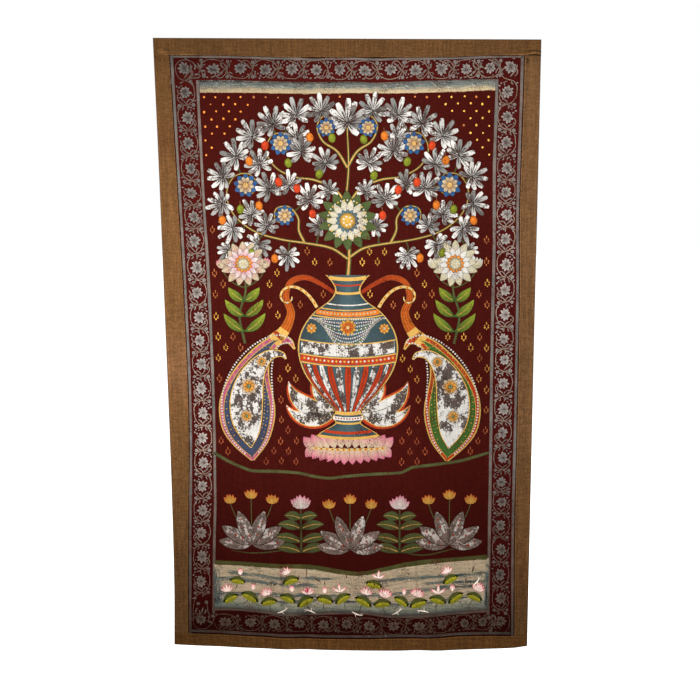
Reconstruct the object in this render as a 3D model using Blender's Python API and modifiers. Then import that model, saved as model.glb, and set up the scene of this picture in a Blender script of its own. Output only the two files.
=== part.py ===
"""A painted cloth hanging: a painted cotton panel with four plain border strips sewn round it.

Metres, +Z up. The origin is the middle of the top edge. The cloth hangs down from Z = 0 and
its painted face looks along -Y. Every piece is an open sheet, bent to the soft relief of the
hanging cloth and then given its thickness towards the back.
"""

from collections import namedtuple
from math import cos, pi

import bmesh
import bpy

# Overall size, strips and cloth
WIDTH = 0.914
HEIGHT = 1.524
TOP_STRIP = 0.042
BOTTOM_STRIP = 0.030
LEFT_STRIP = 0.046
RIGHT_STRIP = 0.037
PANEL_THICKNESS = 0.0012
STRIP_THICKNESS = 0.0018
SEAM_GAP = 0.0003

# The top edge hangs slightly askew, and the band under it lies flat
TOP_TILT = 0.0083
HEADING = 0.032
RELIEF_GROWTH = 0.25

# Cells of the sheets, which meet along the seams
PANEL_COLUMNS = 40
PANEL_ROWS = 38
SIDE_COLUMNS = 3
CROSS_ROWS = 3

# The cut edges and seams. Each follows a straight line, at X for an upright one and at Z for
# a level one, and each knot is a place along it and how far it lies off that line there.
Edge = namedtuple("Edge", "line knots")
Knot = namedtuple("Knot", "at off")

LEFT_EDGE = Edge(-WIDTH / 2, (
    Knot(0.000, -0.0015),
    Knot(-0.300, 0.0025),
    Knot(-0.700, 0.0055),
    Knot(-1.100, 0.0070),
    Knot(-1.380, 0.0062),
    Knot(-1.525, 0.0030),
))
RIGHT_EDGE = Edge(WIDTH / 2, (
    Knot(0.000, 0.0005),
    Knot(-0.600, 0.0022),
    Knot(-1.100, 0.0042),
    Knot(-1.540, 0.0047),
))
BOTTOM_EDGE = Edge(-HEIGHT, (
    Knot(-0.460, 0.0000),
    Knot(-0.330, -0.0077),
    Knot(-0.160, -0.0118),
    Knot(0.085, -0.0148),
    Knot(0.250, -0.0137),
    Knot(0.420, -0.0076),
    Knot(0.460, -0.0018),
))
TOP_SEAM = Edge(-TOP_STRIP, (
    Knot(-0.460, 0.0065),
    Knot(-0.420, 0.0062),
    Knot(-0.270, 0.0044),
    Knot(-0.160, 0.0008),
    Knot(0.000, -0.0004),
    Knot(0.230, -0.0008),
    Knot(0.330, 0.0020),
    Knot(0.415, 0.0028),
    Knot(0.436, 0.0017),
    Knot(0.449, 0.0021),
    Knot(0.457, 0.0012),
))
BOTTOM_SEAM = Edge(-HEIGHT + BOTTOM_STRIP, (
    Knot(-0.460, 0.0010),
    Knot(-0.395, -0.0020),
    Knot(-0.250, -0.0085),
    Knot(-0.120, -0.0128),
    Knot(0.040, -0.0135),
    Knot(0.120, -0.0122),
    Knot(0.190, -0.0130),
    Knot(0.285, -0.0068),
    Knot(0.460, -0.0050),
))
LEFT_SEAM = Edge(-WIDTH / 2 + LEFT_STRIP, (
    Knot(-0.035, -0.0106),
    Knot(-0.250, -0.0042),
    Knot(-0.600, 0.0058),
    Knot(-0.920, 0.0095),
    Knot(-1.250, -0.0008),
    Knot(-1.510, -0.0072),
))
RIGHT_SEAM = Edge(WIDTH / 2 - RIGHT_STRIP, (
    Knot(-0.035, 0.0006),
    Knot(-0.150, 0.0000),
    Knot(-0.400, -0.0025),
    Knot(-0.600, 0.0020),
    Knot(-0.950, 0.0045),
    Knot(-1.190, 0.0042),
    Knot(-1.510, 0.0092),
))

# Relief of the hanging cloth: soft mounds and hollows. lean is the drift of the middle in X
# for each metre up, and forward is how far the middle stands towards the painted side.
Swell = namedtuple("Swell", "x z half_width half_height lean forward")

SWELLS = (
    Swell(0.03, -1.66, 0.62, 1.15, 0.0, 0.010),
    Swell(-0.20, -0.80, 0.34, 0.50, 0.0, -0.0035),
    Swell(0.24, -0.62, 0.30, 0.50, 0.0, 0.0045),
    Swell(-0.46, -1.08, 0.11, 0.50, 0.0, -0.0060),
    Swell(0.46, -0.85, 0.10, 0.55, 0.0, -0.0040),
    Swell(-0.47, -1.56, 0.15, 0.24, 0.0, 0.0060),
    Swell(0.47, -1.56, 0.15, 0.24, 0.0, 0.0045),
    Swell(-0.172, -1.46, 0.050, 0.42, -0.04, 0.0032),
    Swell(-0.107, -1.42, 0.046, 0.36, 0.02, -0.0030),
    Swell(0.160, -1.44, 0.060, 0.36, -0.20, -0.0034),
    Swell(0.225, -1.50, 0.055, 0.30, -0.10, 0.0028),
    Swell(-0.325, -1.40, 0.070, 0.40, 0.06, -0.0020),
    Swell(0.360, -0.745, 0.110, 0.030, 0.0, 0.0012),
)

# The lower edge of the top strip stands off the right strip in a short lip
LIP_START = 0.424
LIP_LIFT = 0.0025

BROWN_COTTON = (0.165, 0.083, 0.037, 1.0)
MAROON_COTTON = (0.060, 0.011, 0.009, 1.0)
CLOTH_ROUGHNESS = 0.92


def clear_scene():
    for obj in list(bpy.data.objects):
        bpy.data.objects.remove(obj, do_unlink=True)


def lies_at(edge, at):
    """Where an edge lies, on a smooth curve through its knots."""
    rows = sorted(edge.knots)
    last = len(rows) - 2
    index = 0
    while index < last and at > rows[index + 1].at:
        index += 1
    here, there = rows[index], rows[index + 1]
    before = rows[max(index - 1, 0)]
    after = rows[min(index + 2, last + 1)]
    span = there.at - here.at
    t = min(max((at - here.at) / span, 0.0), 1.0)
    slope_here = (there.off - before.off) / (there.at - before.at) * span
    slope_there = (after.off - here.off) / (after.at - here.at) * span
    return (
        edge.line
        + (2 * t**3 - 3 * t**2 + 1) * here.off
        + (t**3 - 2 * t**2 + t) * slope_here
        + (3 * t**2 - 2 * t**3) * there.off
        + (t**3 - t**2) * slope_there
    )


def mound(distance):
    """A soft hump: 1 in the middle, 0 from a distance of 1 on."""
    return cos(distance * pi / 2) ** 2 if abs(distance) < 1 else 0.0


def forward_of(x, z):
    """How far the front of the cloth stands forward at a place."""
    growth = min(max((-z - HEADING) / RELIEF_GROWTH, 0.0), 1.0)
    growth = growth * growth * (3 - 2 * growth)
    total = 0.0
    for swell in SWELLS:
        middle = swell.x + swell.lean * (z - swell.z)
        across = mound((x - middle) / swell.half_width)
        down = mound((z - swell.z) / swell.half_height)
        total += swell.forward * across * down
    return growth * total


def top_edge(x):
    return -TOP_TILT * x


def place_on_cloth(u, v, left, right, bottom, top):
    """The point a share u across and v up a bay that is bounded by four edges."""
    x = 0.0
    for _ in range(5):
        z = bottom(x) * (1 - v) + top(x) * v
        x = left(z) * (1 - u) + right(z) * u
    return x, z


def run_of(edge, shift=0.0):
    """An edge as a function of the place along it, moved off its seam by a shift."""
    return lambda at: lies_at(edge, at) + shift


def cloth_material(name, colour):
    material = bpy.data.materials.new(name)
    material.use_nodes = True
    shader = material.node_tree.nodes["Principled BSDF"]
    shader.inputs["Base Color"].default_value = colour
    shader.inputs["Roughness"].default_value = CLOTH_ROUGHNESS
    shader.inputs["Metallic"].default_value = 0.0
    material.diffuse_color = colour
    return material


def cloth_sheet(name, uprights, bays, ends, rows, thickness, material, collection, lift=None):
    """One cut piece of cloth: a grid bent to its edges and relief, thickened backwards.

    uprights are its side edges and any seam lines between them, bays the columns of cells from
    one upright to the next, and ends its lower and upper edge.
    """
    columns = sum(bays)
    mesh = bpy.data.meshes.new(name)
    sheet = bmesh.new()
    bmesh.ops.create_grid(sheet, x_segments=columns, y_segments=rows, size=0.5)
    for vertex in sheet.verts:
        column = round((vertex.co.x + 0.5) * columns)
        bay = 0
        while column > bays[bay]:
            column -= bays[bay]
            bay += 1
        sides = uprights[bay:bay + 2]
        x, z = place_on_cloth(column / bays[bay], vertex.co.y + 0.5, *sides, *ends)
        forward = forward_of(x, z)
        if lift:
            forward += lift(x, z)
        vertex.co = (x, -forward, z)
    sheet.normal_update()
    sheet.to_mesh(mesh)
    sheet.free()
    mesh.materials.append(material)
    mesh.shade_smooth()
    obj = bpy.data.objects.new(name, mesh)
    collection.objects.link(obj)
    shell = obj.modifiers.new("thickness", "SOLIDIFY")
    shell.thickness = thickness
    shell.offset = -1.0
    return obj


def lip_lift(x, z):
    """Lift of the top strip's lower edge where it crosses the right strip."""
    across = min(max((x - LIP_START) / (lies_at(RIGHT_EDGE, z) - LIP_START), 0.0), 1.0)
    down = min(max((-z - HEADING) / (-lies_at(TOP_SEAM, x) - HEADING), 0.0), 1.0)
    return LIP_LIFT * across * down


def make_panel(collection):
    half = SEAM_GAP / 2
    sides = (run_of(LEFT_SEAM, half), run_of(RIGHT_SEAM, -half))
    ends = (run_of(BOTTOM_SEAM, half), run_of(TOP_SEAM, -half))
    material = cloth_material("maroon painted cotton", MAROON_COTTON)
    cloth_sheet("painted_panel", sides, (PANEL_COLUMNS,), ends, PANEL_ROWS, PANEL_THICKNESS,
                material, collection)


def make_side_strips(collection, material):
    half = SEAM_GAP / 2
    ends = (run_of(BOTTOM_SEAM, half), run_of(TOP_SEAM, -half))
    left = (run_of(LEFT_EDGE), run_of(LEFT_SEAM, -half))
    right = (run_of(RIGHT_SEAM, half), run_of(RIGHT_EDGE))
    for name, sides in (("border_left", left), ("border_right", right)):
        cloth_sheet(name, sides, (SIDE_COLUMNS,), ends, PANEL_ROWS, STRIP_THICKNESS,
                    material, collection)


def make_cross_strips(collection, material):
    half = SEAM_GAP / 2
    uprights = (run_of(LEFT_EDGE), run_of(LEFT_SEAM), run_of(RIGHT_SEAM), run_of(RIGHT_EDGE))
    bays = (SIDE_COLUMNS, PANEL_COLUMNS, SIDE_COLUMNS)
    top = (run_of(TOP_SEAM, half), top_edge)
    bottom = (run_of(BOTTOM_EDGE), run_of(BOTTOM_SEAM, -half))
    cloth_sheet("border_top", uprights, bays, top, CROSS_ROWS, STRIP_THICKNESS,
                material, collection, lift=lip_lift)
    cloth_sheet("border_bottom", uprights, bays, bottom, CROSS_ROWS, STRIP_THICKNESS,
                material, collection)


def main():
    clear_scene()
    collection = bpy.data.collections.new("painted cloth hanging")
    bpy.context.scene.collection.children.link(collection)
    make_panel(collection)
    brown = cloth_material("brown border cotton", BROWN_COTTON)
    make_side_strips(collection, brown)
    make_cross_strips(collection, brown)


main()
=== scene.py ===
"""A painted cloth hanging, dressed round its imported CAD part.

Metres, +Z up, the painted face looks along -Y. Every cloth piece is a thin sheet rebuilt on the
relief of its own CAD node. The painting is made of brush marks, thin meshes that lie a fraction
of a millimetre over the panel and follow its folds.
"""

import random
from collections import namedtuple
from contextlib import contextmanager
from math import ceil, cos, floor, pi, radians, sin

import bpy
import numpy as np
from mathutils import Matrix, Vector
from mathutils.bvhtree import BVHTree


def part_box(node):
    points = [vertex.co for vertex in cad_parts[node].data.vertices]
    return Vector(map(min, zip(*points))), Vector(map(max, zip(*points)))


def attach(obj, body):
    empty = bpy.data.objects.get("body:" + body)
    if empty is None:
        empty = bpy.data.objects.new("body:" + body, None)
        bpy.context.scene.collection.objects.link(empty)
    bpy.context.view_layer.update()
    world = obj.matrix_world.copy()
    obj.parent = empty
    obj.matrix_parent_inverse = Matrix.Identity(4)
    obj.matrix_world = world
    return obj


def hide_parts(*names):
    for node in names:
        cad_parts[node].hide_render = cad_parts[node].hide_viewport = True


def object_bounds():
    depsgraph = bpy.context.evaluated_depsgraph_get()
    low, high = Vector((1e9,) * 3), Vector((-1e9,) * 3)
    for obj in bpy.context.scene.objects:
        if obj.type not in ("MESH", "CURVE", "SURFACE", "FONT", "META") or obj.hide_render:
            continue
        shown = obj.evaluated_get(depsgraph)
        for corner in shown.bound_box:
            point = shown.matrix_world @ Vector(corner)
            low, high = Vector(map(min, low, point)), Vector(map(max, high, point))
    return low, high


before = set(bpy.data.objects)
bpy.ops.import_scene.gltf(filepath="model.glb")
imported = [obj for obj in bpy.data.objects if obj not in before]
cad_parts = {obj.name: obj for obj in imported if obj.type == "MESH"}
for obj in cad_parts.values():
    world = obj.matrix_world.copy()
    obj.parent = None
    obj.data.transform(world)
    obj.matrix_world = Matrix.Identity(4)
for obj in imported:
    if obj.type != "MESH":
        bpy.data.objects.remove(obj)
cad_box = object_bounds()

MM = 0.001
hand = random.Random(1811)
rand = hand.uniform


def mm(*values):
    """Lengths given in millimetres."""
    return np.array(values) * MM


# Camera of the photograph
CAMERA_PLACE = (0.0471, -2.7981, -0.2231)
CAMERA_DOWN = 0.1849
CAMERA_YAW = -0.0150
CAMERA_ROLL = -0.0031
CAMERA_LENS = 59.14

# Sheets: cells, the close ones from a folded edge on, and the part under a seam
SHEET_CELL = 6.5 * MM
STRIP_CELL = 1.7 * MM
CLOSE_CELLS = mm(0, 0.6, 1.3, 2.2, 3.2, 4.2, 5.5, 7)
PANEL_THICKNESS = 1.0 * MM
STRIP_THICKNESS = 1.1 * MM
ALLOWANCE = 3 * MM
NET = 10 * MM
FAR_IN_FRONT = -0.2

# The maroon field meets its crimson border softly, a darker maroon margin runs round the panel,
# and painted shade darkens it towards its seams
FIELD_SOFTNESS = 4 * MM
MARGIN_START = 1 * MM
MARGIN_END = 7 * MM
SHADE_START = 0.5 * MM
SHADE_END = 3.0 * MM
SEAM_SHADE = 0.45

# Folds of the strips: the inner one stands up, the cut edges roll back and are pressed flat
FOLD_LIFT = 1.2 * MM
FOLD_REACH = 7 * MM
SEAM_LIFT = 0.7 * MM
SEAM_REACH = 0.014
EDGE_ROLL = 0.7 * MM
EDGE_REACH = 1.6 * MM
INNER_ROLL = 0.5 * MM
INNER_REACH = 1.0 * MM
PRESSED_LINE = 4.2 * MM
PRESSED_DEPTH = 0.35 * MM
PRESSED_REACH = 1.3 * MM

# Paint
COAT = 0.22 * MM
COAT_STEP = 0.06 * MM
LONGEST_STEP = 6.5 * MM
BAND_WAVERS = 22
THINNEST = 0.05 * MM
BAND_COLUMN = 3 * MM

# How bright the light is where the photograph's colours were judged, in its upper part
LIGHT_THERE = 0.62


def pigment(*shown):
    """A dye or paint in linear light, from the 0 to 255 values that it shows in that light."""
    values = [value / 255 for value in shown]
    linear = [v / 12.92 if v <= 0.04045 else ((v + 0.055) / 1.055) ** 2.4 for v in values]
    return np.array(linear) * LIGHT_THERE

FIELD = pigment(73, 20, 15)
CRIMSON = pigment(78, 21, 17)
MARGIN = pigment(52, 14, 13)
BROWN = pigment(124, 86, 50)
GREY = pigment(142, 127, 118)
BLUE_GREY = pigment(126, 126, 122)
VINE = pigment(142, 124, 110)
PETAL = pigment(154, 146, 140)
PETAL_LINE = pigment(84, 42, 38)
DARK = pigment(44, 38, 36)
DOT = pigment(250, 186, 84)
DULL_DOT = pigment(190, 112, 62)
WHITE = pigment(238, 232, 222)
CREAM = pigment(214, 202, 164)
SILVER = pigment(232, 228, 222)
TARNISH = pigment(86, 73, 67)
GOLD = pigment(226, 176, 82)
ORANGE = pigment(232, 128, 46)
VERMILION = pigment(196, 66, 34)
PINK = pigment(226, 112, 146)
ROSE = pigment(242, 196, 200)
GREEN = pigment(74, 112, 50)
LEAF_GREEN = pigment(150, 162, 52)
OLIVE = pigment(92, 104, 62)
TEAL = pigment(86, 112, 118)
SLATE = pigment(70, 80, 104)
BLUE = pigment(48, 82, 124)
CLAY = pigment(172, 108, 78)
SKY_CREAM = pigment(200, 180, 144)
SKY_BLUE = pigment(119, 129, 125)
POND_BLUE = pigment(124, 132, 128)
POND_SAND = pigment(252, 240, 208)
POND_RIM = pigment(104, 105, 61)
RUST = pigment(168, 84, 52)


def smooth(points, steps=6):
    """A smooth run through given points, with that many steps between two of them."""
    points = np.asarray(points, float)
    padded = np.vstack([2 * points[0] - points[1], points, 2 * points[-1] - points[-2]])
    t = np.linspace(0, 1, steps, endpoint=False)[:, None]
    runs = []
    for a, b, c, d in zip(padded, padded[1:], padded[2:], padded[3:]):
        runs.append(0.5 * (2 * b + (c - a) * t + (2 * a - 5 * b + 4 * c - d) * t**2
                           + (3 * b - a - 3 * c + d) * t**3))
    return np.vstack(runs + [points[-1:]])


def course(*knots):
    """A smooth line as a function: where it runs at a place along it."""
    run = smooth(sorted(knots), 12)
    return lambda at: np.interp(at, run[:, 0], run[:, 1])


def hump(distance):
    """1 in the middle, falling softly to 0 at a distance of 1."""
    return np.cos(np.clip(distance, -1, 1) * pi / 2) ** 2


def soft_step(value, start, end):
    t = np.clip((value - start) / (end - start), 0, 1)
    return t * t * (3 - 2 * t)


# Fine creases that the plain solids leave out. A lean is the drift in X for each metre up,
# and lift is positive towards the painted side.
Crease = namedtuple("Crease", "x z half_width half_height lean lift")

CREASES = (
    Crease(-0.172, -1.36, 0.016, 0.19, 0.01, 0.0012),
    Crease(-0.150, -1.34, 0.014, 0.17, 0.02, -0.0010),
    Crease(-0.108, -1.37, 0.013, 0.18, 0.00, -0.0013),
    Crease(-0.088, -1.36, 0.013, 0.16, 0.00, 0.0010),
    Crease(0.150, -1.34, 0.014, 0.19, -0.20, -0.0014),
    Crease(0.172, -1.35, 0.014, 0.19, -0.20, 0.0014),
    Crease(0.060, -1.40, 0.020, 0.16, 0.05, 0.0008),
    Crease(-0.300, -1.38, 0.020, 0.16, 0.02, 0.0008),
    Crease(0.300, -0.745, 0.160, 0.008, 0.0, 0.0011),
    Crease(-0.240, -0.738, 0.120, 0.007, 0.0, 0.0007),
    Crease(0.442, -0.0345, 0.026, 0.0050, 0.0, 0.0014),
    Crease(0.446, -0.0265, 0.024, 0.0045, 0.0, -0.0012),
    Crease(-0.434, -0.030, 0.004, 0.018, 0.6, 0.0009),
    Crease(-0.426, -0.034, 0.003, 0.014, 0.6, -0.0007),
    Crease(-0.250, -0.700, 0.030, 0.26, 0.03, 0.0005),
    Crease(0.110, -0.420, 0.034, 0.30, -0.04, 0.0005),
    Crease(0.000, -1.020, 0.300, 0.012, 0.0, 0.0004),
)


def creases(x, z):
    total = np.zeros_like(x)
    for crease in CREASES:
        middle = crease.x + crease.lean * (z - crease.z)
        total += (crease.lift * hump((x - middle) / crease.half_width)
                  * hump((z - crease.z) / crease.half_height))
    return total


class Relief:
    """The front of one CAD cloth node, read on an even net and smoothed between its places."""

    def __init__(self, node):
        low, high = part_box(node)
        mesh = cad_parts[node].data
        tree = BVHTree.FromPolygons([v.co for v in mesh.vertices],
                                    [p.vertices for p in mesh.polygons])
        self.xs = np.arange(low.x - 2 * NET, high.x + 3 * NET, NET)
        self.zs = np.arange(low.z - 2 * NET, high.z + 3 * NET, NET)
        heights = np.empty((len(self.zs), len(self.xs)))
        for row, z in enumerate(self.zs):
            for column, x in enumerate(self.xs):
                place = Vector((x, FAR_IN_FRONT, z))
                hit = tree.ray_cast(place, Vector((0, 1, 0)))[0]
                if hit is None:
                    hit = tree.find_nearest(Vector((x, low.y - NET, z)))[0]
                heights[row, column] = hit.y
        padded = np.pad(heights, 1, mode="edge")
        rows = (padded[:-2] + 2 * padded[1:-1] + padded[2:]) / 4
        self.heights = (rows[:, :-2] + 2 * rows[:, 1:-1] + rows[:, 2:]) / 4

    def __call__(self, x, z):
        """Y of the cloth's front at places in X and Z."""
        def weights(places, at):
            share = (at - places[0]) / NET
            cell = np.clip(np.floor(share).astype(int), 1, len(places) - 3)
            t = np.clip(share - cell, 0, 1)
            return cell, (
                (-t + 2 * t**2 - t**3) / 2,
                (2 - 5 * t**2 + 3 * t**3) / 2,
                (t + 4 * t**2 - 3 * t**3) / 2,
                (t**3 - t**2) / 2,
            )
        column, across = weights(self.xs, x)
        row, down = weights(self.zs, z)
        total = np.zeros_like(x)
        for i in range(4):
            for k in range(4):
                total += down[i] * across[k] * self.heights[row + i - 1, column + k - 1]
        return total - creases(x, z)


def rims(node):
    """The four edges of a CAD cloth node as functions, read from its narrow edge faces."""
    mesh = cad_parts[node].data

    def key(index):
        return tuple(round(value, 6) for value in mesh.vertices[index].co)

    front = {key(i) for face in mesh.polygons if face.normal.y < -0.5 for i in face.vertices}
    found = {"left": {}, "right": {}, "bottom": {}, "top": {}}
    for face in mesh.polygons:
        normal = face.normal
        if abs(normal.y) > 0.5:
            continue
        for x, _, z in (key(i) for i in face.vertices if key(i) in front):
            if abs(normal.x) > abs(normal.z):
                found["left" if normal.x < 0 else "right"][z] = x
            else:
                found["bottom" if normal.z < 0 else "top"][x] = z
    edges = {}
    for side, knots in found.items():
        ordered = np.array(sorted(knots.items()))
        edges[side] = lambda at, run=ordered: np.interp(at, run[:, 0], run[:, 1])
    return edges


PANEL = rims("painted_panel")
panel_front = Relief("painted_panel")


def mesh_object(name, points, faces, tints, material):
    """A new mesh piece with a colour at each point, riding on the one body."""
    mesh = bpy.data.meshes.new(name)
    mesh.from_pydata(points.tolist(), [], faces)
    layer = mesh.color_attributes.new("tint", "FLOAT_COLOR", "POINT")
    layer.data.foreach_set("color", np.hstack([tints, np.ones((len(tints), 1))]).ravel())
    mesh.materials.append(material)
    mesh.shade_smooth()
    obj = bpy.data.objects.new(name, mesh)
    bpy.context.scene.collection.objects.link(obj)
    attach(obj, "root")
    return obj


def grid_faces(rows, columns, start=0):
    """Cells of a net of points whose rows run to the right and follow each other upwards."""
    corner = (np.arange(rows - 1)[:, None] * columns + np.arange(columns - 1)[None, :]).ravel()
    corner = corner + start
    return np.stack([corner, corner + 1, corner + columns + 1, corner + columns], 1).tolist()


def stations(length, cell, folded=True):
    """Shares along a length: even cells, with close ones at its ends where they are folded."""
    places = np.linspace(0, length, max(int(length / cell), 2) + 1)
    if folded:
        near = CLOSE_CELLS[-1] + cell / 3
        places = places[(places > near) & (places < length - near)]
        places = np.concatenate([places, CLOSE_CELLS, length - CLOSE_CELLS])
    return np.unique(np.round(places, 7)) / length


def cloth_net(edges, across, up, grow):
    """Places in X and Z of a sheet's net. grow is how far each side reaches past its edge."""
    u, v = np.meshgrid(across, up)
    x = np.zeros_like(u)
    for _ in range(6):
        z = (edges["bottom"](x) - grow["bottom"]) * (1 - v) + (edges["top"](x) + grow["top"]) * v
        x = (edges["left"](z) - grow["left"]) * (1 - u) + (edges["right"](z) + grow["right"]) * u
    return x, z


def cloth_piece(name, node, x, z, y, tints, thickness, material):
    """A sheet of cloth with its front on a net of places and its thickness behind them."""
    points = np.stack([x, y, z], -1).reshape(-1, 3)
    obj = mesh_object(name, points, grid_faces(*x.shape), tints.reshape(-1, 3), material)
    shell = obj.modifiers.new("thickness", "SOLIDIFY")
    shell.thickness = thickness
    shell.offset = -1
    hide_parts(node)
    return obj


class Paint:
    """Brush marks gathered in X and Z, laid over the panel as one mesh."""

    base = 0

    def __init__(self, name, material):
        self.name, self.material = name, material
        self.points, self.lifts, self.tints, self.faces = [], [], [], []
        self.count = 0

    def net(self, points, tints, coat=0):
        """A net of points, rows by columns, with a tint for each, some coats up."""
        rows, columns = points.shape[:2]
        self.points.append(points.reshape(-1, 2))
        self.tints.append(np.broadcast_to(tints, (rows, columns, 3)).reshape(-1, 3))
        self.lifts.append(np.full(rows * columns, COAT + COAT_STEP * (Paint.base + coat)))
        self.faces += grid_faces(rows, columns, self.count)
        self.count += rows * columns

    def stroke(self, path, widths, tint, coat=0, tip=None, edge=1.0, fade=1.0):
        """A stroke along a path. Its widths, and its tint towards the tip, run along it."""
        path, tint = in_steps(np.asarray(path, float), np.asarray(tint, float))
        share = np.linspace(0, 1, len(path))
        half = along_run(widths, share) / 2
        across = max(ceil(2 * half.max() / LONGEST_STEP), 1 if edge == 1.0 else 2)
        offsets = np.linspace(-1, 1, across + 1)
        points = path[:, None] + beside(path)[:, None] * (half[:, None] * offsets)[..., None]
        if tip is not None:
            tint = tint + (tip - tint) * share[:, None] ** fade
        tints = np.broadcast_to(tint, (len(path), 3))[:, None]
        rim = 1 + (edge - 1) * np.abs(offsets)[None, :, None]
        self.net(points, tints * rim, coat)

    def disc(self, x, z, radius, tint, coat=0, rim=None, tall=1.0, turn=0.0):
        """A round or oval spot, tinted from its middle to its rim."""
        sides = max(9, ceil(2 * pi * radius / LONGEST_STEP))
        rings = np.linspace(1, 0.02, ceil(radius / LONGEST_STEP) + 1)
        angle = np.linspace(0, 2 * pi, sides + 1)
        c, s = cos(turn), sin(turn)
        ring = pairs(np.cos(angle), np.sin(angle) * tall) * radius
        ring = ring @ np.array([[c, s], [-s, c]])
        points = ring[None] * rings[:, None, None] + (x, z)
        rim = tint if rim is None else rim
        self.net(points, tint + (rim - tint) * rings[:, None, None], coat)

    def lay(self, load=None):
        """Puts the gathered marks on the panel. load makes the paint lighter or darker at a place.
        """
        x, z = np.vstack(self.points).T
        y = panel_front(x, z) - np.concatenate(self.lifts)
        # The paint takes on the painted falloff, the painted shade along folds and the panel's
        # darker, redder foot
        tints = np.vstack(self.tints) * panel_tone_and_shade(x, z)
        if load:
            tints = tints * np.reshape(load(x, z), (len(x), -1))
        return mesh_object(self.name, np.stack([x, y, z], 1), self.faces, tints,
                           self.material)


@contextmanager
def over(coats=1):
    """What is painted inside lies that many coats higher."""
    Paint.base += coats
    yield
    Paint.base -= coats


def pairs(x, z):
    """Places in X and Z, from one number or run of each."""
    return np.stack(np.broadcast_arrays(x, z), -1)


def beside(path):
    """The unit way to the right of a path at each of its points."""
    along = np.gradient(path, axis=0)
    along /= np.maximum(np.linalg.norm(along, axis=1, keepdims=True), 1e-9)
    return pairs(along[:, 1], -along[:, 0])


def in_steps(path, tint):
    """The path, and a tint that runs along it, with no step longer than the folds allow."""
    lengths = np.linalg.norm(np.diff(path, axis=0), axis=1)
    if lengths.max() <= LONGEST_STEP:
        return path, tint
    at = np.concatenate([[0], np.cumsum(lengths)])
    even = np.linspace(0, at[-1], ceil(at[-1] / LONGEST_STEP) + 1)
    path = np.stack([np.interp(even, at, path[:, i]) for i in range(2)], 1)
    if tint.ndim == 2:
        tint = np.stack([np.interp(even, at, tint[:, i]) for i in range(3)], 1)
    return path, tint


def along_run(values, share):
    """Values at shares of a run, smoothly between the given ones."""
    if len(values) < 3:
        return np.interp(share, np.linspace(0, 1, len(values)), values)
    knots = np.stack([np.linspace(0, 1, len(values)), values], 1)
    run = smooth(knots, 6)
    return np.maximum(np.interp(share, run[:, 0], run[:, 1]), THINNEST)


def vary(tint, amount=0.10):
    """The tint a little lighter or darker, as each brush load is."""
    return tint * (1 + rand(-amount, amount))


def jitter(amount):
    return rand(-amount, amount)


# Materials

# Sockets of the node that mixes two colours
MIX_SHARE, MIX_FIRST, MIX_SECOND, MIXED = 0, 6, 7, 2


class Tree:
    """A material's node tree, built in short lines."""

    def __init__(self, name):
        self.material = bpy.data.materials.new(name)
        self.material.use_nodes = True
        self.nodes = self.material.node_tree.nodes
        self.links = self.material.node_tree.links
        self.shader = self.nodes["Principled BSDF"]
        self.place = self.add("ShaderNodeTexCoord").outputs["Object"]
        self.tint = self.add("ShaderNodeVertexColor", layer_name="tint").outputs["Color"]

    def put(self, value, socket):
        """Links a value to a socket, or sets it there if it is a plain number or colour."""
        if isinstance(value, bpy.types.NodeSocket):
            self.links.new(value, socket)
        else:
            socket.default_value = (*value, 1.0) if socket.type == "RGBA" else value

    def add(self, kind, inputs=None, **settings):
        node = self.nodes.new(kind)
        for name, value in settings.items():
            setattr(node, name, value)
        for name, value in (inputs or {}).items():
            self.put(value, node.inputs[name])
        return node

    def noise(self, scale, detail=3.0, rough=0.55, place=None):
        inputs = {"Vector": place or self.place, "Scale": scale, "Detail": detail,
                  "Roughness": rough}
        return self.add("ShaderNodeTexNoise", inputs).outputs["Fac"]

    def stretched(self, x, y, z):
        inputs = {"Vector": self.place, "Scale": (x, y, z)}
        return self.add("ShaderNodeMapping", inputs).outputs["Vector"]

    def span(self, value, low, high, to_low, to_high):
        inputs = {"Value": value, "From Min": low, "From Max": high,
                  "To Min": to_low, "To Max": to_high}
        return self.add("ShaderNodeMapRange", inputs).outputs["Result"]

    def cloudy(self, scale, detail, to_low, to_high, place=None):
        """Noise that runs between two values."""
        return self.span(self.noise(scale, detail, place=place), 0.3, 0.7, to_low, to_high)

    def mix(self, share, first, second, blend="MIX"):
        node = self.add("ShaderNodeMix", data_type="RGBA", blend_type=blend)
        for value, place in ((share, MIX_SHARE), (first, MIX_FIRST), (second, MIX_SECOND)):
            self.put(value, node.inputs[place])
        return node.outputs[MIXED]

    def math(self, operation, first, second):
        node = self.add("ShaderNodeMath", operation=operation)
        self.put(first, node.inputs[0])
        self.put(second, node.inputs[1])
        return node.outputs[0]

    def toned(self, colour, shades):
        """A colour made lighter and darker by all of the shades."""
        shade = shades[0]
        for other in shades[1:]:
            shade = self.math("MULTIPLY", shade, other)
        grey = self.add("ShaderNodeCombineColor", {"Red": shade, "Green": shade, "Blue": shade})
        return self.mix(1.0, colour, grey.outputs["Color"], "MULTIPLY")

    def weave(self, pitch):
        """Threads over and under each other, as a height."""
        inputs = {"Vector": self.place, "Scale": 2 * pi / pitch / 20, "Distortion": 0.6,
                  "Detail": 1.0}
        threads = [self.add("ShaderNodeTexWave", inputs, bands_direction=way).outputs["Fac"]
                   for way in ("X", "Z")]
        return self.math("ADD", *threads)

    def bump(self, height, distance, under=None):
        inputs = {"Height": height, "Distance": distance}
        if under:
            inputs["Normal"] = under
        return self.add("ShaderNodeBump", inputs).outputs["Normal"]

    def finish(self, colour, normal, roughness, specular, sheen=0.0):
        plain = {"Base Color": colour, "Normal": normal, "Roughness": roughness,
                 "Specular IOR Level": specular, "Sheen Weight": sheen, "Sheen Roughness": 0.5}
        for name, value in plain.items():
            self.put(value, self.shader.inputs[name])
        return self.material


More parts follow.
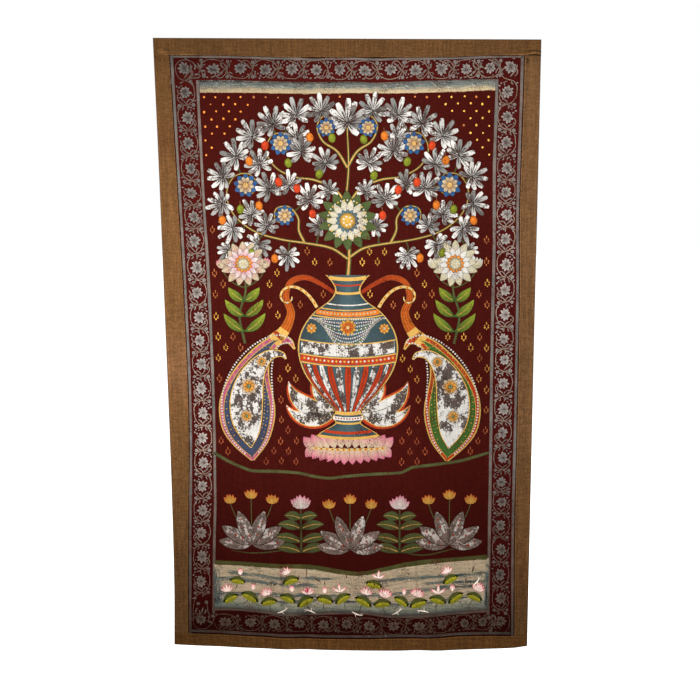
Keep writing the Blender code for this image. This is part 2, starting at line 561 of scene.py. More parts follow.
def dyed_cotton(name, pitch, specular, grain, streak, sheen=0.0):
    """Cotton whose colour lies at its points, with uneven dye, thick threads and a plain weave."""
    tree = Tree(name)
    upright, level, long = ((1, 1, 0.10), (0.12, 1, 1), (1, 1, 0.03))
    colour = tree.toned(tree.tint, [
        tree.cloudy(scale, detail, 1 - share, 1 + share, tree.stretched(*way))
        for scale, detail, share, way in (
            (9, 4, 0.05, (1, 1, 1)), (300, 2, grain, (1, 1, 1)), (150, 3, grain / 2, (1, 1, 1)),
            (240, 2, streak, upright), (260, 2, streak, level), (120, 2, streak * 0.8, long),
        )
    ])
    normal = tree.bump(tree.weave(pitch), 0.06 * MM)
    normal = tree.bump(tree.noise(140, 4), 0.12 * MM, normal)
    return tree.finish(colour, normal, 0.9, specular, sheen)


def gouache(name, wear=0.55, rough=0.8, specular=0.03, mottle=0.0, kept=0.475, tarnish=TARNISH):
    """Opaque cloth paint: brush streaks, small losses to the dyed ground, a dry surface."""
    tree = Tree(name)
    colour = tree.toned(tree.tint, (
        tree.span(tree.noise(260, 4), 0.25, 0.75, 0.88, 1.12),
        tree.cloudy(46, 3, 0.91, 1.07),
        tree.cloudy(300, 2, 0.93, 1.07, tree.stretched(1, 1, 0.15)),
        tree.cloudy(300, 2, 0.93, 1.07, tree.stretched(0.15, 1, 1)),
    ))
    if mottle:
        blots = tree.noise(40, 9, 0.68, place=tree.stretched(1, 1, 0.7))
        for scale, reach in ((9, 0.035), (230, 0.075)):
            blots = tree.math("ADD", blots, tree.cloudy(scale, 3, -reach, reach))
        dull = tree.toned(tree.mix(0.0, tarnish, tarnish),
                          (tree.cloudy(240, 3, 0.55, 1.55), tree.cloudy(60, 3, 0.7, 1.25)))
        colour = tree.mix(tree.span(blots, kept, kept + 0.04, 0.0, mottle), colour, dull)
    patches = tree.span(tree.noise(16, 4), 0.35, 0.7, -0.09, 0.07)
    bare = tree.math("ADD", tree.noise(330, 6, 0.7), patches)
    bare = tree.span(bare, wear, wear + 0.06, 0.0, 0.85)
    colour = tree.mix(bare, colour, FIELD * 1.1)
    normal = tree.bump(tree.weave(0.9 * MM), 0.04 * MM)
    normal = tree.bump(tree.noise(300, 4), 0.10 * MM, normal)
    return tree.finish(colour, normal, rough, specular)


def pale_floor():
    tree = Tree("pale studio floor")
    colour = tree.mix(tree.cloudy(3, 3, 0.0, 1.0), (0.80, 0.80, 0.80), (0.84, 0.84, 0.84))
    tree.shader.inputs["Emission Color"].default_value = (1, 1, 1, 1)
    tree.shader.inputs["Emission Strength"].default_value = 0.9
    return tree.finish(colour, tree.bump(tree.noise(60, 2), 0.05 * MM), 0.95, 0.1)


# The dyed panel

INNER_LEFT = course((-1.45, -0.3502), (-1.33, -0.3466), (-1.27, -0.3444), (-1.21, -0.3420),
                    (-1.15, -0.3390), (-1.08, -0.3380), (-0.95, -0.3368), (-0.80, -0.3375),
                    (-0.55, -0.3420), (-0.40, -0.3475), (-0.165, -0.3540), (-0.09, -0.3550))
INNER_RIGHT = course((-1.45, 0.3590), (-1.00, 0.3575), (-0.75, 0.3555), (-0.50, 0.3560),
                     (-0.30, 0.3530), (-0.165, 0.3550), (-0.09, 0.3550))
INNER_TOP = course((-0.36, -0.0935), (-0.28, -0.0935), (-0.22, -0.0960), (-0.10, -0.0985),
                   (0.02, -0.0985), (0.07, -0.1010), (0.13, -0.0985), (0.20, -0.0960),
                   (0.30, -0.0935), (0.36, -0.0930))
SKY_FOOT = course((-0.36, -0.1230), (-0.22, -0.1240), (-0.10, -0.1265), (0.03, -0.1250),
                  (0.08, -0.1265), (0.19, -0.1250), (0.27, -0.1225), (0.34, -0.1195))
POND_TOP = course((-0.350, -1.297), (-0.279, -1.299), (-0.217, -1.303), (-0.094, -1.308),
                  (0.019, -1.324), (0.091, -1.312), (0.193, -1.293), (0.365, -1.279))
INNER_BOTTOM = course((-0.36, -1.4285), (-0.285, -1.4285), (-0.22, -1.4335), (-0.155, -1.4410),
                      (-0.09, -1.4385), (-0.03, -1.4350), (0.04, -1.4355), (0.105, -1.4445),
                      (0.17, -1.4455), (0.24, -1.4390), (0.30, -1.4335), (0.37, -1.4295))


# Painted shade along sharp folds: the middle of each, its reach and how dark it is
FoldShade = namedtuple("FoldShade", "x z half_width half_height lean dark")

FOLD_SHADES = (
    FoldShade(-0.172, -1.34, 0.0060, 0.150, -0.02, 0.32),
    FoldShade(-0.165, -1.36, 0.0140, 0.140, -0.02, 0.10),
    FoldShade(0.174, -1.35, 0.0045, 0.130, -0.03, 0.30),
    FoldShade(0.144, -1.33, 0.0040, 0.060, -0.03, 0.24),
    FoldShade(-0.109, -1.42, 0.0180, 0.090, 0.02, 0.22),
    FoldShade(-0.107, -1.37, 0.0028, 0.080, 0.01, 0.24),
    FoldShade(0.100, -1.44, 0.0200, 0.060, 0.04, 0.12),
    FoldShade(-0.235, -0.60, 0.0040, 0.160, 0.01, 0.10),
    FoldShade(0.296, -0.50, 0.0040, 0.190, 0.01, 0.10),
    FoldShade(-0.118, -1.203, 0.0260, 0.0330, 0.35, 0.42),
    FoldShade(0.0, -0.681, 0.4200, 0.0030, 0.0, 0.20),
    FoldShade(0.0, -0.245, 0.4200, 0.0025, 0.0, 0.12),
)


def painted_falloff(x, z):
    """Painted shade where the light falls off: darker towards the foot, the heading and the right.
    """
    foot = 1 - 0.30 * soft_step(-z, 0.85, 1.50)
    heading = 1 - 0.16 * soft_step(z, -0.075, -0.03)
    side = 1 - 0.06 * soft_step(x, 0.0, 0.4)
    return foot * heading * side


def panel_tone_and_shade(x, z):
    """The panel's own colour over the painted falloff: redder and darker still towards its foot,
    with painted shade along its sharp folds.
    """
    low = soft_step(-z, 0.95, 1.46)[..., None]
    dark = (1 - 0.40 * soft_step(-z, 1.38, 1.48)) * (1 - 0.18 * soft_step(-z, 0.97, 1.24))
    # Painted shade along each sharp fold
    for line in FOLD_SHADES:
        at = line.x + line.lean * (z - line.z)
        dark = dark * (1 - line.dark * hump((x - at) / line.half_width)
                       * hump((z - line.z) / line.half_height))
    return (painted_falloff(x, z) * dark)[..., None] * (1 - low * (0.0, 0.17, 0.24))


def ways_in(edges, x, z):
    """How far places lie inside each of the four edges of a piece."""
    return {"left": x - edges["left"](z), "right": edges["right"](z) - x,
            "bottom": z - edges["bottom"](x), "top": edges["top"](x) - z}


def make_panel():
    width = PANEL["right"](-0.8) - PANEL["left"](-0.8)
    height = PANEL["top"](0.0) - PANEL["bottom"](0.0)
    x, z = cloth_net(PANEL, stations(width, SHEET_CELL), stations(height, SHEET_CELL),
                     dict.fromkeys(PANEL, ALLOWANCE))
    inside = 1.0
    for place, inner in ((x, INNER_LEFT(z)), (-x, -INNER_RIGHT(z)), (-z, -INNER_TOP(x)),
                         (z, INNER_BOTTOM(x))):
        inside = inside * soft_step(place, inner - FIELD_SOFTNESS, inner + FIELD_SOFTNESS)
    inside = inside[..., None]
    off_edge = np.minimum.reduce(list(ways_in(PANEL, x, z).values()))
    margin = 1 - soft_step(off_edge, MARGIN_START, MARGIN_END)[..., None]
    tints = FIELD * inside + CRIMSON * (1 - inside)
    tints = tints * (1 - margin) + MARGIN * margin
    # Painted shade along the seams, where the strips lap over the panel
    lit = SEAM_SHADE + (1 - SEAM_SHADE) * soft_step(off_edge, SHADE_START, SHADE_END)
    tints = tints * lit[..., None]
    # The painted falloff, painted shade along folds, and the panel's darker, redder foot
    tints = tints * panel_tone_and_shade(x, z)
    material = dyed_cotton("maroon cotton", 0.8 * MM, 0.02, 0.15, 0.08)
    return cloth_piece("dyed_panel", "painted_panel", x, z, panel_front(x, z), tints,
                       PANEL_THICKNESS, material)


# The brown strips. Each laps with a folded edge over what it is sewn to.
Strip = namedtuple("Strip", "name node inner width lap flat")

STRIPS = (
    Strip("left_strip", "border_left", "right", 0.050, 0.9 * MM, (0.052, 1.46)),
    Strip("right_strip", "border_right", "left", 0.037, 0.9 * MM, (0.040, 1.46)),
    Strip("top_strip", "border_top", "bottom", 0.042, 0.4 * MM, (0.92, 0.045)),
    Strip("bottom_strip", "border_bottom", "top", 0.030, 1.5 * MM, (0.92, 0.034)),
)
SIDE_LENGTH = 1.47
CROSS_LENGTH = 0.914

# Faded and dull stretches of the side strips, with the change of each colour in their middle
Stretch = namedtuple("Stretch", "strip z half_height change")

STRETCHES = (
    Stretch("right_strip", -0.92, 0.14, (0.10, 0.10, 0.10)),
    Stretch("right_strip", -1.34, 0.12, (-0.07, -0.13, -0.14)),
    Stretch("left_strip", -0.79, 0.15, (0.30, 0.32, 0.62)),
    Stretch("left_strip", -0.235, 0.08, (-0.10, -0.15, -0.13)),
)

# Painted highlights and shade of wrinkles at the left end of the top strip: how far below the
# first each lies, and how light
Wrinkle = namedtuple("Wrinkle", "down light")

WRINKLES = (Wrinkle(0.0, 0.70), Wrinkle(-0.0052, -0.42), Wrinkle(0.0062, 0.60),
            Wrinkle(0.0110, -0.38))


def is_upright(strip):
    return strip.inner in ("left", "right")


def strip_front(strip):
    """The edges of a strip, and its front at given places with their way in from the edges."""
    edges = rims(strip.node)
    front = Relief(strip.node)

    def surface(x, z):
        off = ways_in(edges, x, z)
        inner = off.pop(strip.inner)
        lift = FOLD_LIFT * (1 - soft_step(inner, 0, FOLD_REACH))
        if is_upright(strip):
            rim = off["left" if strip.inner == "right" else "right"]
        else:
            rim = np.minimum.reduce(list(off.values()))
            if strip.name == "top_strip":
                lift = lift * (0.35 + 0.65 * soft_step(x, -0.445, -0.418))
            for seam in (PANEL["left"](z), PANEL["right"](z)):
                lift = lift + SEAM_LIFT * hump((x - seam) / SEAM_REACH) * (
                    1 - soft_step(inner, 0, 2 * FOLD_REACH))
        roll = EDGE_ROLL * (1 - soft_step(rim, 0, EDGE_REACH)) ** 2
        inner_roll = INNER_ROLL * (1 - soft_step(inner, -strip.lap, INNER_REACH)) ** 2
        pressed = PRESSED_DEPTH * hump((rim - PRESSED_LINE) / PRESSED_REACH)
        return front(x, z) - lift + roll + inner_roll - pressed, inner, rim

    return edges, surface


def top_shade(x, z, inner):
    """Light and dark on the top strip: lighter at its left end, a little darker in its middle, a
    painted highlight on its lit fold, painted highlights and shade along its wrinkles, and at its
    lip at the right a painted shadow and painted shade with a painted highlight between.
    """
    lip = soft_step(x, 0.414, 0.436)
    lit = hump((x + 0.382) / 0.036) + soft_step(x, 0.33, 0.40) * (1 - lip)
    shade = 1 + 0.42 * hump((x + 0.470) / 0.16)
    shade = shade * (1 - 0.11 * hump((x - 0.060) / 0.13))
    # Painted highlight on the lit fold
    shade = shade * (0.92 + 0.75 * lit * hump((inner - 1.4 * MM) / (1.6 * MM)))
    bend = 0.0280 + 0.36 * (x + 0.43) + 0.0012 * np.sin(x * 420)
    # Painted highlights and shade along the wrinkles
    for wrinkle in WRINKLES:
        shade = shade * (1 + wrinkle.light * hump((z + bend + wrinkle.down) / 0.0034)
                         * hump((x + 0.432) / 0.024))
    arch = hump((x - 0.4425) / 0.030) * MM
    # At the lip: a painted shadow along the lower edge, a painted highlight on the ridge and
    # painted shade above it
    shade = shade * (1 - 0.97 * lip * (1 - soft_step(inner - arch * 1.2, 0, 1.8 * MM)))
    shade = shade * (1 + 1.10 * lip * hump((inner - 1.8 * MM - arch * 3.8) / (2.6 * MM)))
    return shade * (1 - 0.75 * lip * hump((inner - 7.0 * MM - arch * 4.0) / (2.6 * MM)))


def strip_tints(strip, x, z, inner, rim):
    """Brown, with painted highlights on the folds, painted shade on the cut edges and a painted
    shadow under the lip, and faded in places.
    """
    # Brown under the painted falloff; a painted highlight along the pressed hem line, painted
    # shade on the rolled cut edge and a painted highlight on the inner fold
    tints = BROWN * painted_falloff(x, z)[..., None]
    shade = 1 + 0.20 * hump((rim - PRESSED_LINE) / (1.6 * MM))
    shade = shade * (1 - 0.30 * (1 - soft_step(rim, 0, 2.6 * MM)))
    shade = shade * (1 + 0.25 * (1 - soft_step(inner, 0, 2.4 * MM)))
    if strip.name == "top_strip":
        shade = shade * top_shade(x, z, inner)
    if strip.name == "right_strip":
        tints = tints * (1 + soft_step(z, -1.20, -0.95)[..., None] * (0.0, 0.05, 0.22))
    if strip.name == "bottom_strip":
        tints = tints * (0.96, 0.88, 0.66)
    for stretch in STRETCHES:
        if stretch.strip == strip.name:
            share = hump((z - stretch.z) / stretch.half_height)[..., None]
            tints = tints * (1 + share * stretch.change)
    return tints * shade[..., None]


def make_strip(strip, material):
    edges, surface = strip_front(strip)
    upright = is_upright(strip)
    along = stations(SIDE_LENGTH if upright else CROSS_LENGTH, SHEET_CELL, folded=not upright)
    wide = stations(strip.width, STRIP_CELL)
    grow = dict.fromkeys(edges, 0)
    if upright:
        grow.update(bottom=ALLOWANCE, top=ALLOWANCE)
    grow[strip.inner] = strip.lap
    x, z = cloth_net(edges, *((wide, along) if upright else (along, wide)), grow)
    y, inner, rim = surface(x, z)
    obj = cloth_piece(strip.name, strip.node, x, z, y, strip_tints(strip, x, z, inner, rim),
                      STRIP_THICKNESS, material)


# Sewing: the stitches along the inner edge of each strip, and three dark ones that mend it
STITCH_PITCH = 5.4 * MM
STITCH_LENGTH = 3.6 * MM
STITCH_INSET = 2.4 * MM
SEAM_TOP = -0.050
SEAM_FOOT = -1.488
SEAM_HALF = 0.450
THREAD_RADIUS = 0.28 * MM
MENDS = ((0.4255, -0.0485), (0.4270, -0.0520), (0.4255, -0.0565))
MEND_LENGTH = 5.6 * MM
MEND_RADIUS = 1.3 * MM

# Rings of a stitch, as shares of its length and radii off the cloth, and corners of a ring
STITCH_RINGS = ((-0.5, -1.2), (-0.3, 0.6), (0.3, 0.6), (0.5, -1.2))
RING_TURNS = (0.25, 0.75, 1.25, 1.75)


def seam_run(strip, edges):
    """Places of the stitches along a strip's inner edge, a little inside it."""
    inset = STITCH_INSET if strip.inner in ("left", "bottom") else -STITCH_INSET
    if is_upright(strip):
        z = np.arange(SEAM_TOP, SEAM_FOOT, -STITCH_PITCH)
        return edges[strip.inner](z) + inset, z
    x = np.arange(-SEAM_HALF, SEAM_HALF, STITCH_PITCH)
    return x, edges[strip.inner](x) + inset


def stitches(material):
    points, tints, faces = [], [], []

    def sew(x, z, turn, surface, tint, length, radius):
        """One stitch: a short thread whose ends dip into the cloth."""
        start = len(points)
        for share, out in STITCH_RINGS:
            at_x, at_z = x + cos(turn) * length * share, z + sin(turn) * length * share
            at_y = surface(np.array([at_x]), np.array([at_z]))[0][0] - out * radius
            for a in RING_TURNS:
                side = radius * cos(a * pi)
                points.append((at_x - sin(turn) * side, at_y + radius * sin(a * pi),
                               at_z + cos(turn) * side))
                tints.append(tint)
        for ring in range(start, start + 12, 4):
            for side in range(4):
                a, b = ring + side, ring + (side + 1) % 4
                faces.append((a, b, b + 4, a + 4))

    for strip in STRIPS:
        edges, surface = strip_front(strip)
        way = pi / 2 if is_upright(strip) else 0.0
        for x, z in zip(*seam_run(strip, edges)):
            # Thread darker than the brown, under the painted falloff
            sew(x, z, way + jitter(0.16), surface, vary(BROWN * 0.62 * painted_falloff(x, z), 0.25),
                STITCH_LENGTH * rand(0.85, 1.1), THREAD_RADIUS)
        if strip.name == "right_strip":
            for x, z in MENDS:
                sew(x, z, 0.3 + jitter(0.3), surface, DARK * 0.08, MEND_LENGTH, MEND_RADIUS)
    mesh_object("seam_stitches", np.array(points), faces, np.array(tints), material)


# The frame lines and the scroll between them

def wander(steps, knots, low, high, power=1):
    """Numbers that wander between two values along a run."""
    values = [rand(low, high) ** power for _ in range(knots)]
    return np.interp(np.linspace(0, 1, steps), np.linspace(0, 1, knots), values)


def line(paint, path, width, tint=GREY, cooler=BLUE_GREY - GREY):
    """A ruled line by hand: its width, its load of paint and its hue waver."""
    count = len(path)
    widths = [width * rand(0.86, 1.12) for _ in range(max(count // 9, 3))]
    load = wander(count, count // 4 + 2, 0.74, 1.12)[:, None]
    cool = wander(count, count // 4 + 2, 0, 1, power=2)[:, None]
    paint.stroke(path, widths, (tint + cooler * cool) * load, edge=0.84)


def frame_lines(material):
    """The lines at the panel's edges and those round the field, with the gap at its top."""
    paint = Paint("frame_lines", material)
    reach = 0.5 * MM
    for side, inset, width in (("left", 5.9, 6.6), ("right", -6.4, 6.8)):
        at = PANEL[side](-0.75)
        z = np.linspace(PANEL["top"](at) - reach, PANEL["bottom"](at) + reach, 290)
        line(paint, pairs(PANEL[side](z) + inset * MM, z), width * MM)
    z = np.linspace(-0.094, -1.44, 270)
    x = np.linspace(-0.414, 0.4165, 166)
    sliver = hump((x + 0.080) / 0.045) + hump((x - 0.070) / 0.055)
    inner = x[np.abs(x) < 0.357]
    for path, width in (
        (pairs(x, PANEL["top"](x) - 3.6 * MM - 2.0 * MM * sliver), 5.0),
        (pairs(x, PANEL["bottom"](x) + 8.6 * MM), 7.5),
        (pairs(INNER_LEFT(z), z), 7.0),
        (pairs(INNER_RIGHT(z), z), 7.5),
        (pairs(inner, INNER_BOTTOM(inner)), 7.0),
        (pairs(inner, INNER_TOP(inner) - 2.8 * MM), 4.4),
    ):
        line(paint, path, width * MM)
    return paint.lay()


# Where the flowers of the scroll stand, in millimetres along each side from the middle or top
TOP_FLOWERS = (-316, -253, -194, -131, -72, -17, 42, 104, 162, 224, 283, 340)
BOTTOM_FLOWERS = (-321, -255, -192, -127, -64, -6, 52, 117, 181, 243, 299, 346)
LEFT_FLOWERS = (122, 182, 242, 302, 361, 417, 475, 540, 603, 665, 722, 782, 844, 907, 972,
                1036, 1097, 1162, 1220, 1286, 1352)
RIGHT_FLOWERS = (124, 182, 242, 302, 360, 413, 472, 534, 597, 658, 718, 771, 830, 896, 957,
                 1023, 1085, 1137, 1199, 1264, 1332, 1396)

LEFT_MIDDLE = course((-1.46, -0.384), (-1.42, -0.381), (-1.25, -0.376), (-0.95, -0.365),
                     (-0.55, -0.370), (-0.165, -0.383), (-0.05, -0.386))
RIGHT_MIDDLE = course((-1.50, 0.392), (-1.20, 0.3875), (-0.95, 0.387), (-0.50, 0.3845),
                      (-0.20, 0.381), (-0.05, 0.384))
TOP_MIDDLE = course((-0.42, -0.067), (-0.10, -0.0705), (0.05, -0.0725), (0.20, -0.0715),
                    (0.42, -0.0675))
BOTTOM_MIDDLE = course((-0.40, -1.4610), (-0.20, -1.4645), (-0.10, -1.4660), (0.00, -1.4665),
                       (0.10, -1.4720), (0.20, -1.4700), (0.30, -1.4615), (0.40, -1.4600))


def level(middle):
    """Places along and across a level band with that middle line."""
    return lambda s, t: pairs(s, middle(s) + t)


def upright(middle):
    """Places down and across an upright band with that middle line."""
    return lambda s, t: pairs(middle(-s) + t, -s)


# One repeat of the scroll, in millimetres along and across the band, with the flower at 0, 0,
# the arch of the vine on the positive side and the crossings at 30 before and after
CROSSING = 30
ARCH = ((-30, 0), (-28.5, 7), (-24, 14.5), (-15, 19.8), (-3, 21.3), (9, 20.3), (19, 15.5),
        (26, 8.5))
STEM = ((1, -5), (1.5, -10), (4.0, -17), (10.5, -20.3), (18, -19), (24, -13.5), (28, -6.5),
        (30, 0))
LEAVES = (
    ((29, 1), (23, 1.5), (17.5, 7), (16, 12)),
    ((29, -1), (23, -2), (18.5, -8), (17.5, -13)),
    ((26, -1), (20.5, -5.5), (12, -12.5), (7.5, -12)),
    ((-28, -3), (-25, -9), (-22.5, -14)),
    ((-27, 8), (-22, 7.5), (-17.5, 11.5)),
    ((25, 11), (21, 16.5), (15.5, 16.5)),
    ((33, 1), (38, 3), (42, 1)),
    ((5, -18), (8.5, -15.5), (12.5, -14.5)),
    ((4, -15), (-1.5, -19), (-7, -20)),
    ((31, 1), (35, 7), (34, 13)),
    ((-15, 19.5), (-20, 17), (-24, 19.5)),
)
DROPS = ((-11, -15, 3.2), (-15, -20.5, 3.2), (-21.5, -17.5, 2.6), (20.5, 20.5, 2.6),
         (-22, 21, 2.4), (14, -15.5, 2.3), (36, 6, 2.2), (-18, -10, 2.4), (17.5, 12.5, 2.3),
         (-24, 14.5, 2.2), (6, 16.5, 1.9))
BUDS_OFF = 17
LEAVES_LOST = 0.14
DROPS_LOST = 0.26
PETAL_SHAPE = mm(2.2, 5.4, 8.4, 8.6, 6.4, 3.4, 0.3)

# Petals of a flower from the lowest to the middle one: turn in degrees, length in millimetres
PETALS = ((-150, 13), (150, 13), (-111, 16), (111, 16), (-74, 17.5), (74, 17.5), (-37, 18),
          (37, 18), (0, 18.5))


def rosette(paint, spot):
    """A fan of pointed petals from a base near its stem. spot maps millimetres to the cloth."""
    base = np.array([jitter(0.8), -2.8])
    scale = rand(0.99, 1.08)
    for index, (turn, length) in enumerate(PETALS):
        turn = radians(turn + jitter(7))
        length = length * scale * rand(0.86, 1.05)
        reach = np.array([sin(turn), cos(turn)])
        ground = spot(*(base + reach * np.linspace(0.04, 1, 8)[:, None] * length).T)
        coat = 3 if index % 2 else 1
        shade = vary(PETAL, 0.09)
        paint.stroke(ground, PETAL_SHAPE * scale, PETAL_LINE, coat)
        paint.stroke(ground[:-1], (PETAL_SHAPE - 1.5 * MM)[:-1] * scale, shade * 0.68,
                     coat + 1, tip=shade * 1.32)
    paint.disc(*spot(*(base + (0, 0.6))), 3.4 * MM, vary(DARK) * 1.2, 5, rim=PETAL_LINE,
               tall=0.75)
    paint.disc(*spot(*(base + (0, 0.8))), 1.3 * MM, vary(PETAL), 6, tall=0.8)


def bud(paint, x, z, radius):
    """A round bud, darker in its heart."""
    paint.disc(x, z, radius, vary(PETAL * 0.55), 1, rim=vary(PETAL) * 1.05)


def loose(points, amount):
    """A smooth run through points that are each a little off their place."""
    return smooth(np.array(points, float) + [[jitter(amount), jitter(amount)] for _ in points], 4)


def repeat(paint, place, middle, before, after, arch):
    """One repeat between two crossings. arch is the side of the band that the vine takes."""
    def spot(s, t):
        s = np.asarray(s, float)
        reach = np.where(s < 0, before, after) / (CROSSING * MM)
        return place(middle + s * MM * reach, np.asarray(t, float) * MM * arch)

    paint.stroke(spot(*loose(STEM, 0.7).T), mm(1.7, 2.1, 2.0, 1.8, 1.6), vary(VINE) * 1.08)
    for leaf in LEAVES:
        if hand.random() < LEAVES_LOST:
            continue
        path = loose(leaf, 0.9)
        wide = rand(1.9, 3.2)
        paint.stroke(spot(*path.T), mm(1.2, wide * 0.8, wide, wide * 0.8, 0.5),
                     vary(VINE * 0.95), 1, tip=vary(PETAL * 0.92))
    for s, t, size in DROPS:
        if hand.random() < DROPS_LOST:
            continue
        paint.disc(*spot(s + jitter(1.5), t + jitter(0.8)), size * 0.9 * MM,
                   vary(PETAL) * 0.95, tall=0.65, turn=rand(0, pi))
    for side in (-BUDS_OFF, BUDS_OFF):
        bud(paint, *spot(CROSSING + jitter(1.5), side + jitter(1.0)), rand(3.5, 4.6) * MM)
        stalk = smooth([spot(CROSSING, side * 0.15), spot(29 + jitter(2), side * 0.5),
                        spot(CROSSING, side * 0.8)], 4)
        paint.stroke(stalk, mm(1.9, 1.5), vary(VINE))
    rosette(paint, spot)


def vine(paint, points):
    """The running vine of one band."""
    path = smooth(points, 5)
    widths = [rand(1.4, 2.2) * MM for _ in points]
    load = wander(len(path), len(points), 0.95, 1.40)
    paint.stroke(path, widths, VINE * load[:, None])


def band(paint, side):
    """A band of repeats. The vine goes to the other side of the band at each crossing."""
    flowers = np.array(side.flowers) * MM
    crossings = np.concatenate([[side.start], (flowers[:-1] + flowers[1:]) / 2, [side.end]])
    points = list(side.lead)
    arch = 1
    for middle, start, end in zip(flowers, crossings, crossings[1:]):
        before, after = middle - start, end - middle
        repeat(paint, side.place, middle, before, after, arch)
        for s, t in ARCH:
            reach = (before if s < 0 else after) / (CROSSING * MM)
            points.append(side.place(middle + (s + jitter(0.8)) * MM * reach,
                                     (t + jitter(0.8)) * MM * arch))
        arch = -arch
    points.append(side.place(side.end, 0.0))
    vine(paint, points + list(side.tail))


def corner(paint, x, z, turn, way):
    """A flower in a corner, turned as its stem asks, in degrees, which bends that way."""
    a = radians(turn)

    def spot(s, t):
        s, t = np.asarray(s, float) * MM * way, np.asarray(t, float) * MM
        return pairs(x + s * cos(a) - t * sin(a), z + s * sin(a) + t * cos(a))

    stem = smooth(STEM[:6], 4)
    paint.stroke(spot(stem[:, 0] * 0.85, stem[:, 1] * 0.9), mm(2.4, 2.8, 2.2), vary(VINE))
    for leaf in LEAVES[2:4] + LEAVES[7:9]:
        paint.stroke(spot(*(smooth(leaf, 4) * 0.85).T), mm(1.0, 3.0, 3.2, 0.5), vary(VINE),
                     tip=vary(PETAL))
    rosette(paint, spot)


# The vine's way round the corners of the frame
TOP_LEFT_WAY = ((-0.384, -0.095), (-0.398, -0.090), (-0.4065, -0.074), (-0.404, -0.056),
                (-0.390, -0.0475), (-0.374, -0.049), (-0.361, -0.057), (-0.353, -0.066))
TOP_RIGHT_WAY = ((0.3625, -0.070), (0.3640, -0.080), (0.3700, -0.090))
BOTTOM_LEFT_WAY = ((-0.381, -1.383), (-0.395, -1.394), (-0.402, -1.423), (-0.403, -1.450),
                   (-0.403, -1.466), (-0.396, -1.478), (-0.382, -1.482), (-0.366, -1.478))
BOTTOM_RIGHT_WAY = ((0.398, -1.430), (0.411, -1.440), (0.4145, -1.460), (0.409, -1.482),
                    (0.392, -1.492), (0.377, -1.484))

# Twigs, leaves of three points each and buds that fill the corners, in millimetres
CORNER_TWIGS = (
    ((-384, -67), (-376, -66), (-369, -71), (-366, -79), (-371, -87), (-387, -94)),
    ((-354, -54), (-351, -61), (-346, -67)),
    ((-347, -52), (-344, -60), (-346, -67)),
    ((-362, -56), (-360, -65), (-363, -70)),
    ((-346, -68), (-352, -78), (-350, -87), (-370, -90), (-387, -94)),
    ((-349, -74), (-342, -72), (-336, -74)),
    ((-352, -82), (-358, -80), (-362, -84)),
    ((-372, -57), (-369, -63), (-370, -68)),
    ((354, -54), (357, -62), (362, -69)),
    ((371, -84), (366, -80), (362, -72)),
    ((-366, -1412), (-365, -1431), (-361, -1446), (-366, -1462)),
    ((-391, -1423), (-395, -1430), (-397, -1438)),
    ((-376, -1422), (-379, -1430), (-380, -1438)),
    ((-370, -1428), (-371, -1435), (-375, -1441)),
    ((-388, -1430), (-385, -1437), (-387, -1443)),
    ((-404, -1400), (-398, -1397), (-393, -1399)),
    ((-354, -1470), (-359, -1463), (-366, -1462)),
    ((369, -1452), (372, -1460), (378, -1468)),
    ((366, -1470), (372, -1467), (379, -1470)),
    ((375, -1440), (378, -1448), (379, -1455)),
)
CORNER_BUDS = ((-340, -84), (-345, -49), (-417, -97), (-372, -98), (-389, -1413),
               (-368, -1409), (-352, -1447), (362, -1448), (366, -1484), (404, -1436))


def corner_twigs(paint):
    for points in CORNER_TWIGS:
        is_leaf = len(points) == 3
        widths = mm(1.0, 3.4, 3.8, 0.6) if is_leaf else mm(2.2, 2.8, 2.4)
        paint.stroke(smooth(np.array(points) * MM, 5), widths,
                     vary(PETAL if is_leaf else VINE), int(is_leaf))
    for x, z in CORNER_BUDS:
        bud(paint, x * MM, z * MM, 4.6 * MM)


# How light or dark the paint of the bands of the scroll is, along their length
TOP_LOAD = course((-0.42, 0.56), (-0.22, 0.59), (-0.13, 0.70), (-0.05, 0.80), (0.05, 0.84),
                  (0.12, 0.92), (0.19, 0.88), (0.28, 1.00), (0.42, 1.00))
LEFT_LOAD = course((-1.50, 1.00), (-1.24, 1.02), (-1.09, 1.22), (-0.98, 1.48), (-0.88, 1.38),
                   (-0.78, 1.10), (-0.55, 1.08), (-0.42, 0.76), (-0.30, 0.67), (-0.16, 0.66),
                   (-0.05, 0.54))
RIGHT_LOAD = course((-1.50, 0.86), (-1.39, 0.76), (-1.24, 0.76), (-1.16, 0.78), (-1.08, 0.68),
                    (-0.98, 0.88), (-0.85, 1.24), (-0.47, 1.32), (-0.38, 1.06), (-0.30, 0.92),
                    (-0.05, 1.05))


# The four bands of the scroll: their flowers, the vine's start, end and ways round the corners,
# the flowers in the corners, with their turn and bend, and how light or dark their paint is
Side = namedtuple("Side", "name place flowers start end lead tail corners load")

SIDES = (
    Side("scroll_top", level(TOP_MIDDLE), TOP_FLOWERS, -0.350, 0.3625, TOP_LEFT_WAY, (),
         ((-0.388, -0.067, 90, -1), (0.385, -0.067, 90, -1)), lambda x, z: TOP_LOAD(x)),
    Side("scroll_left", upright(LEFT_MIDDLE), LEFT_FLOWERS, 0.095, 1.383, (), (), (),
         lambda x, z: LEFT_LOAD(z)),
    Side("scroll_right", upright(RIGHT_MIDDLE), RIGHT_FLOWERS, 0.096, 1.427, TOP_RIGHT_WAY,
         BOTTOM_RIGHT_WAY, (), lambda x, z: RIGHT_LOAD(z)),
    Side("scroll_bottom", level(BOTTOM_MIDDLE), BOTTOM_FLOWERS, -0.352, 0.370,
         BOTTOM_LEFT_WAY, (), ((-0.384, -1.458, 180, 1), (0.393, -1.458, -90, 1)),
         lambda x, z: np.tile((0.86, 0.82, 0.72), (len(z), 1))),
)


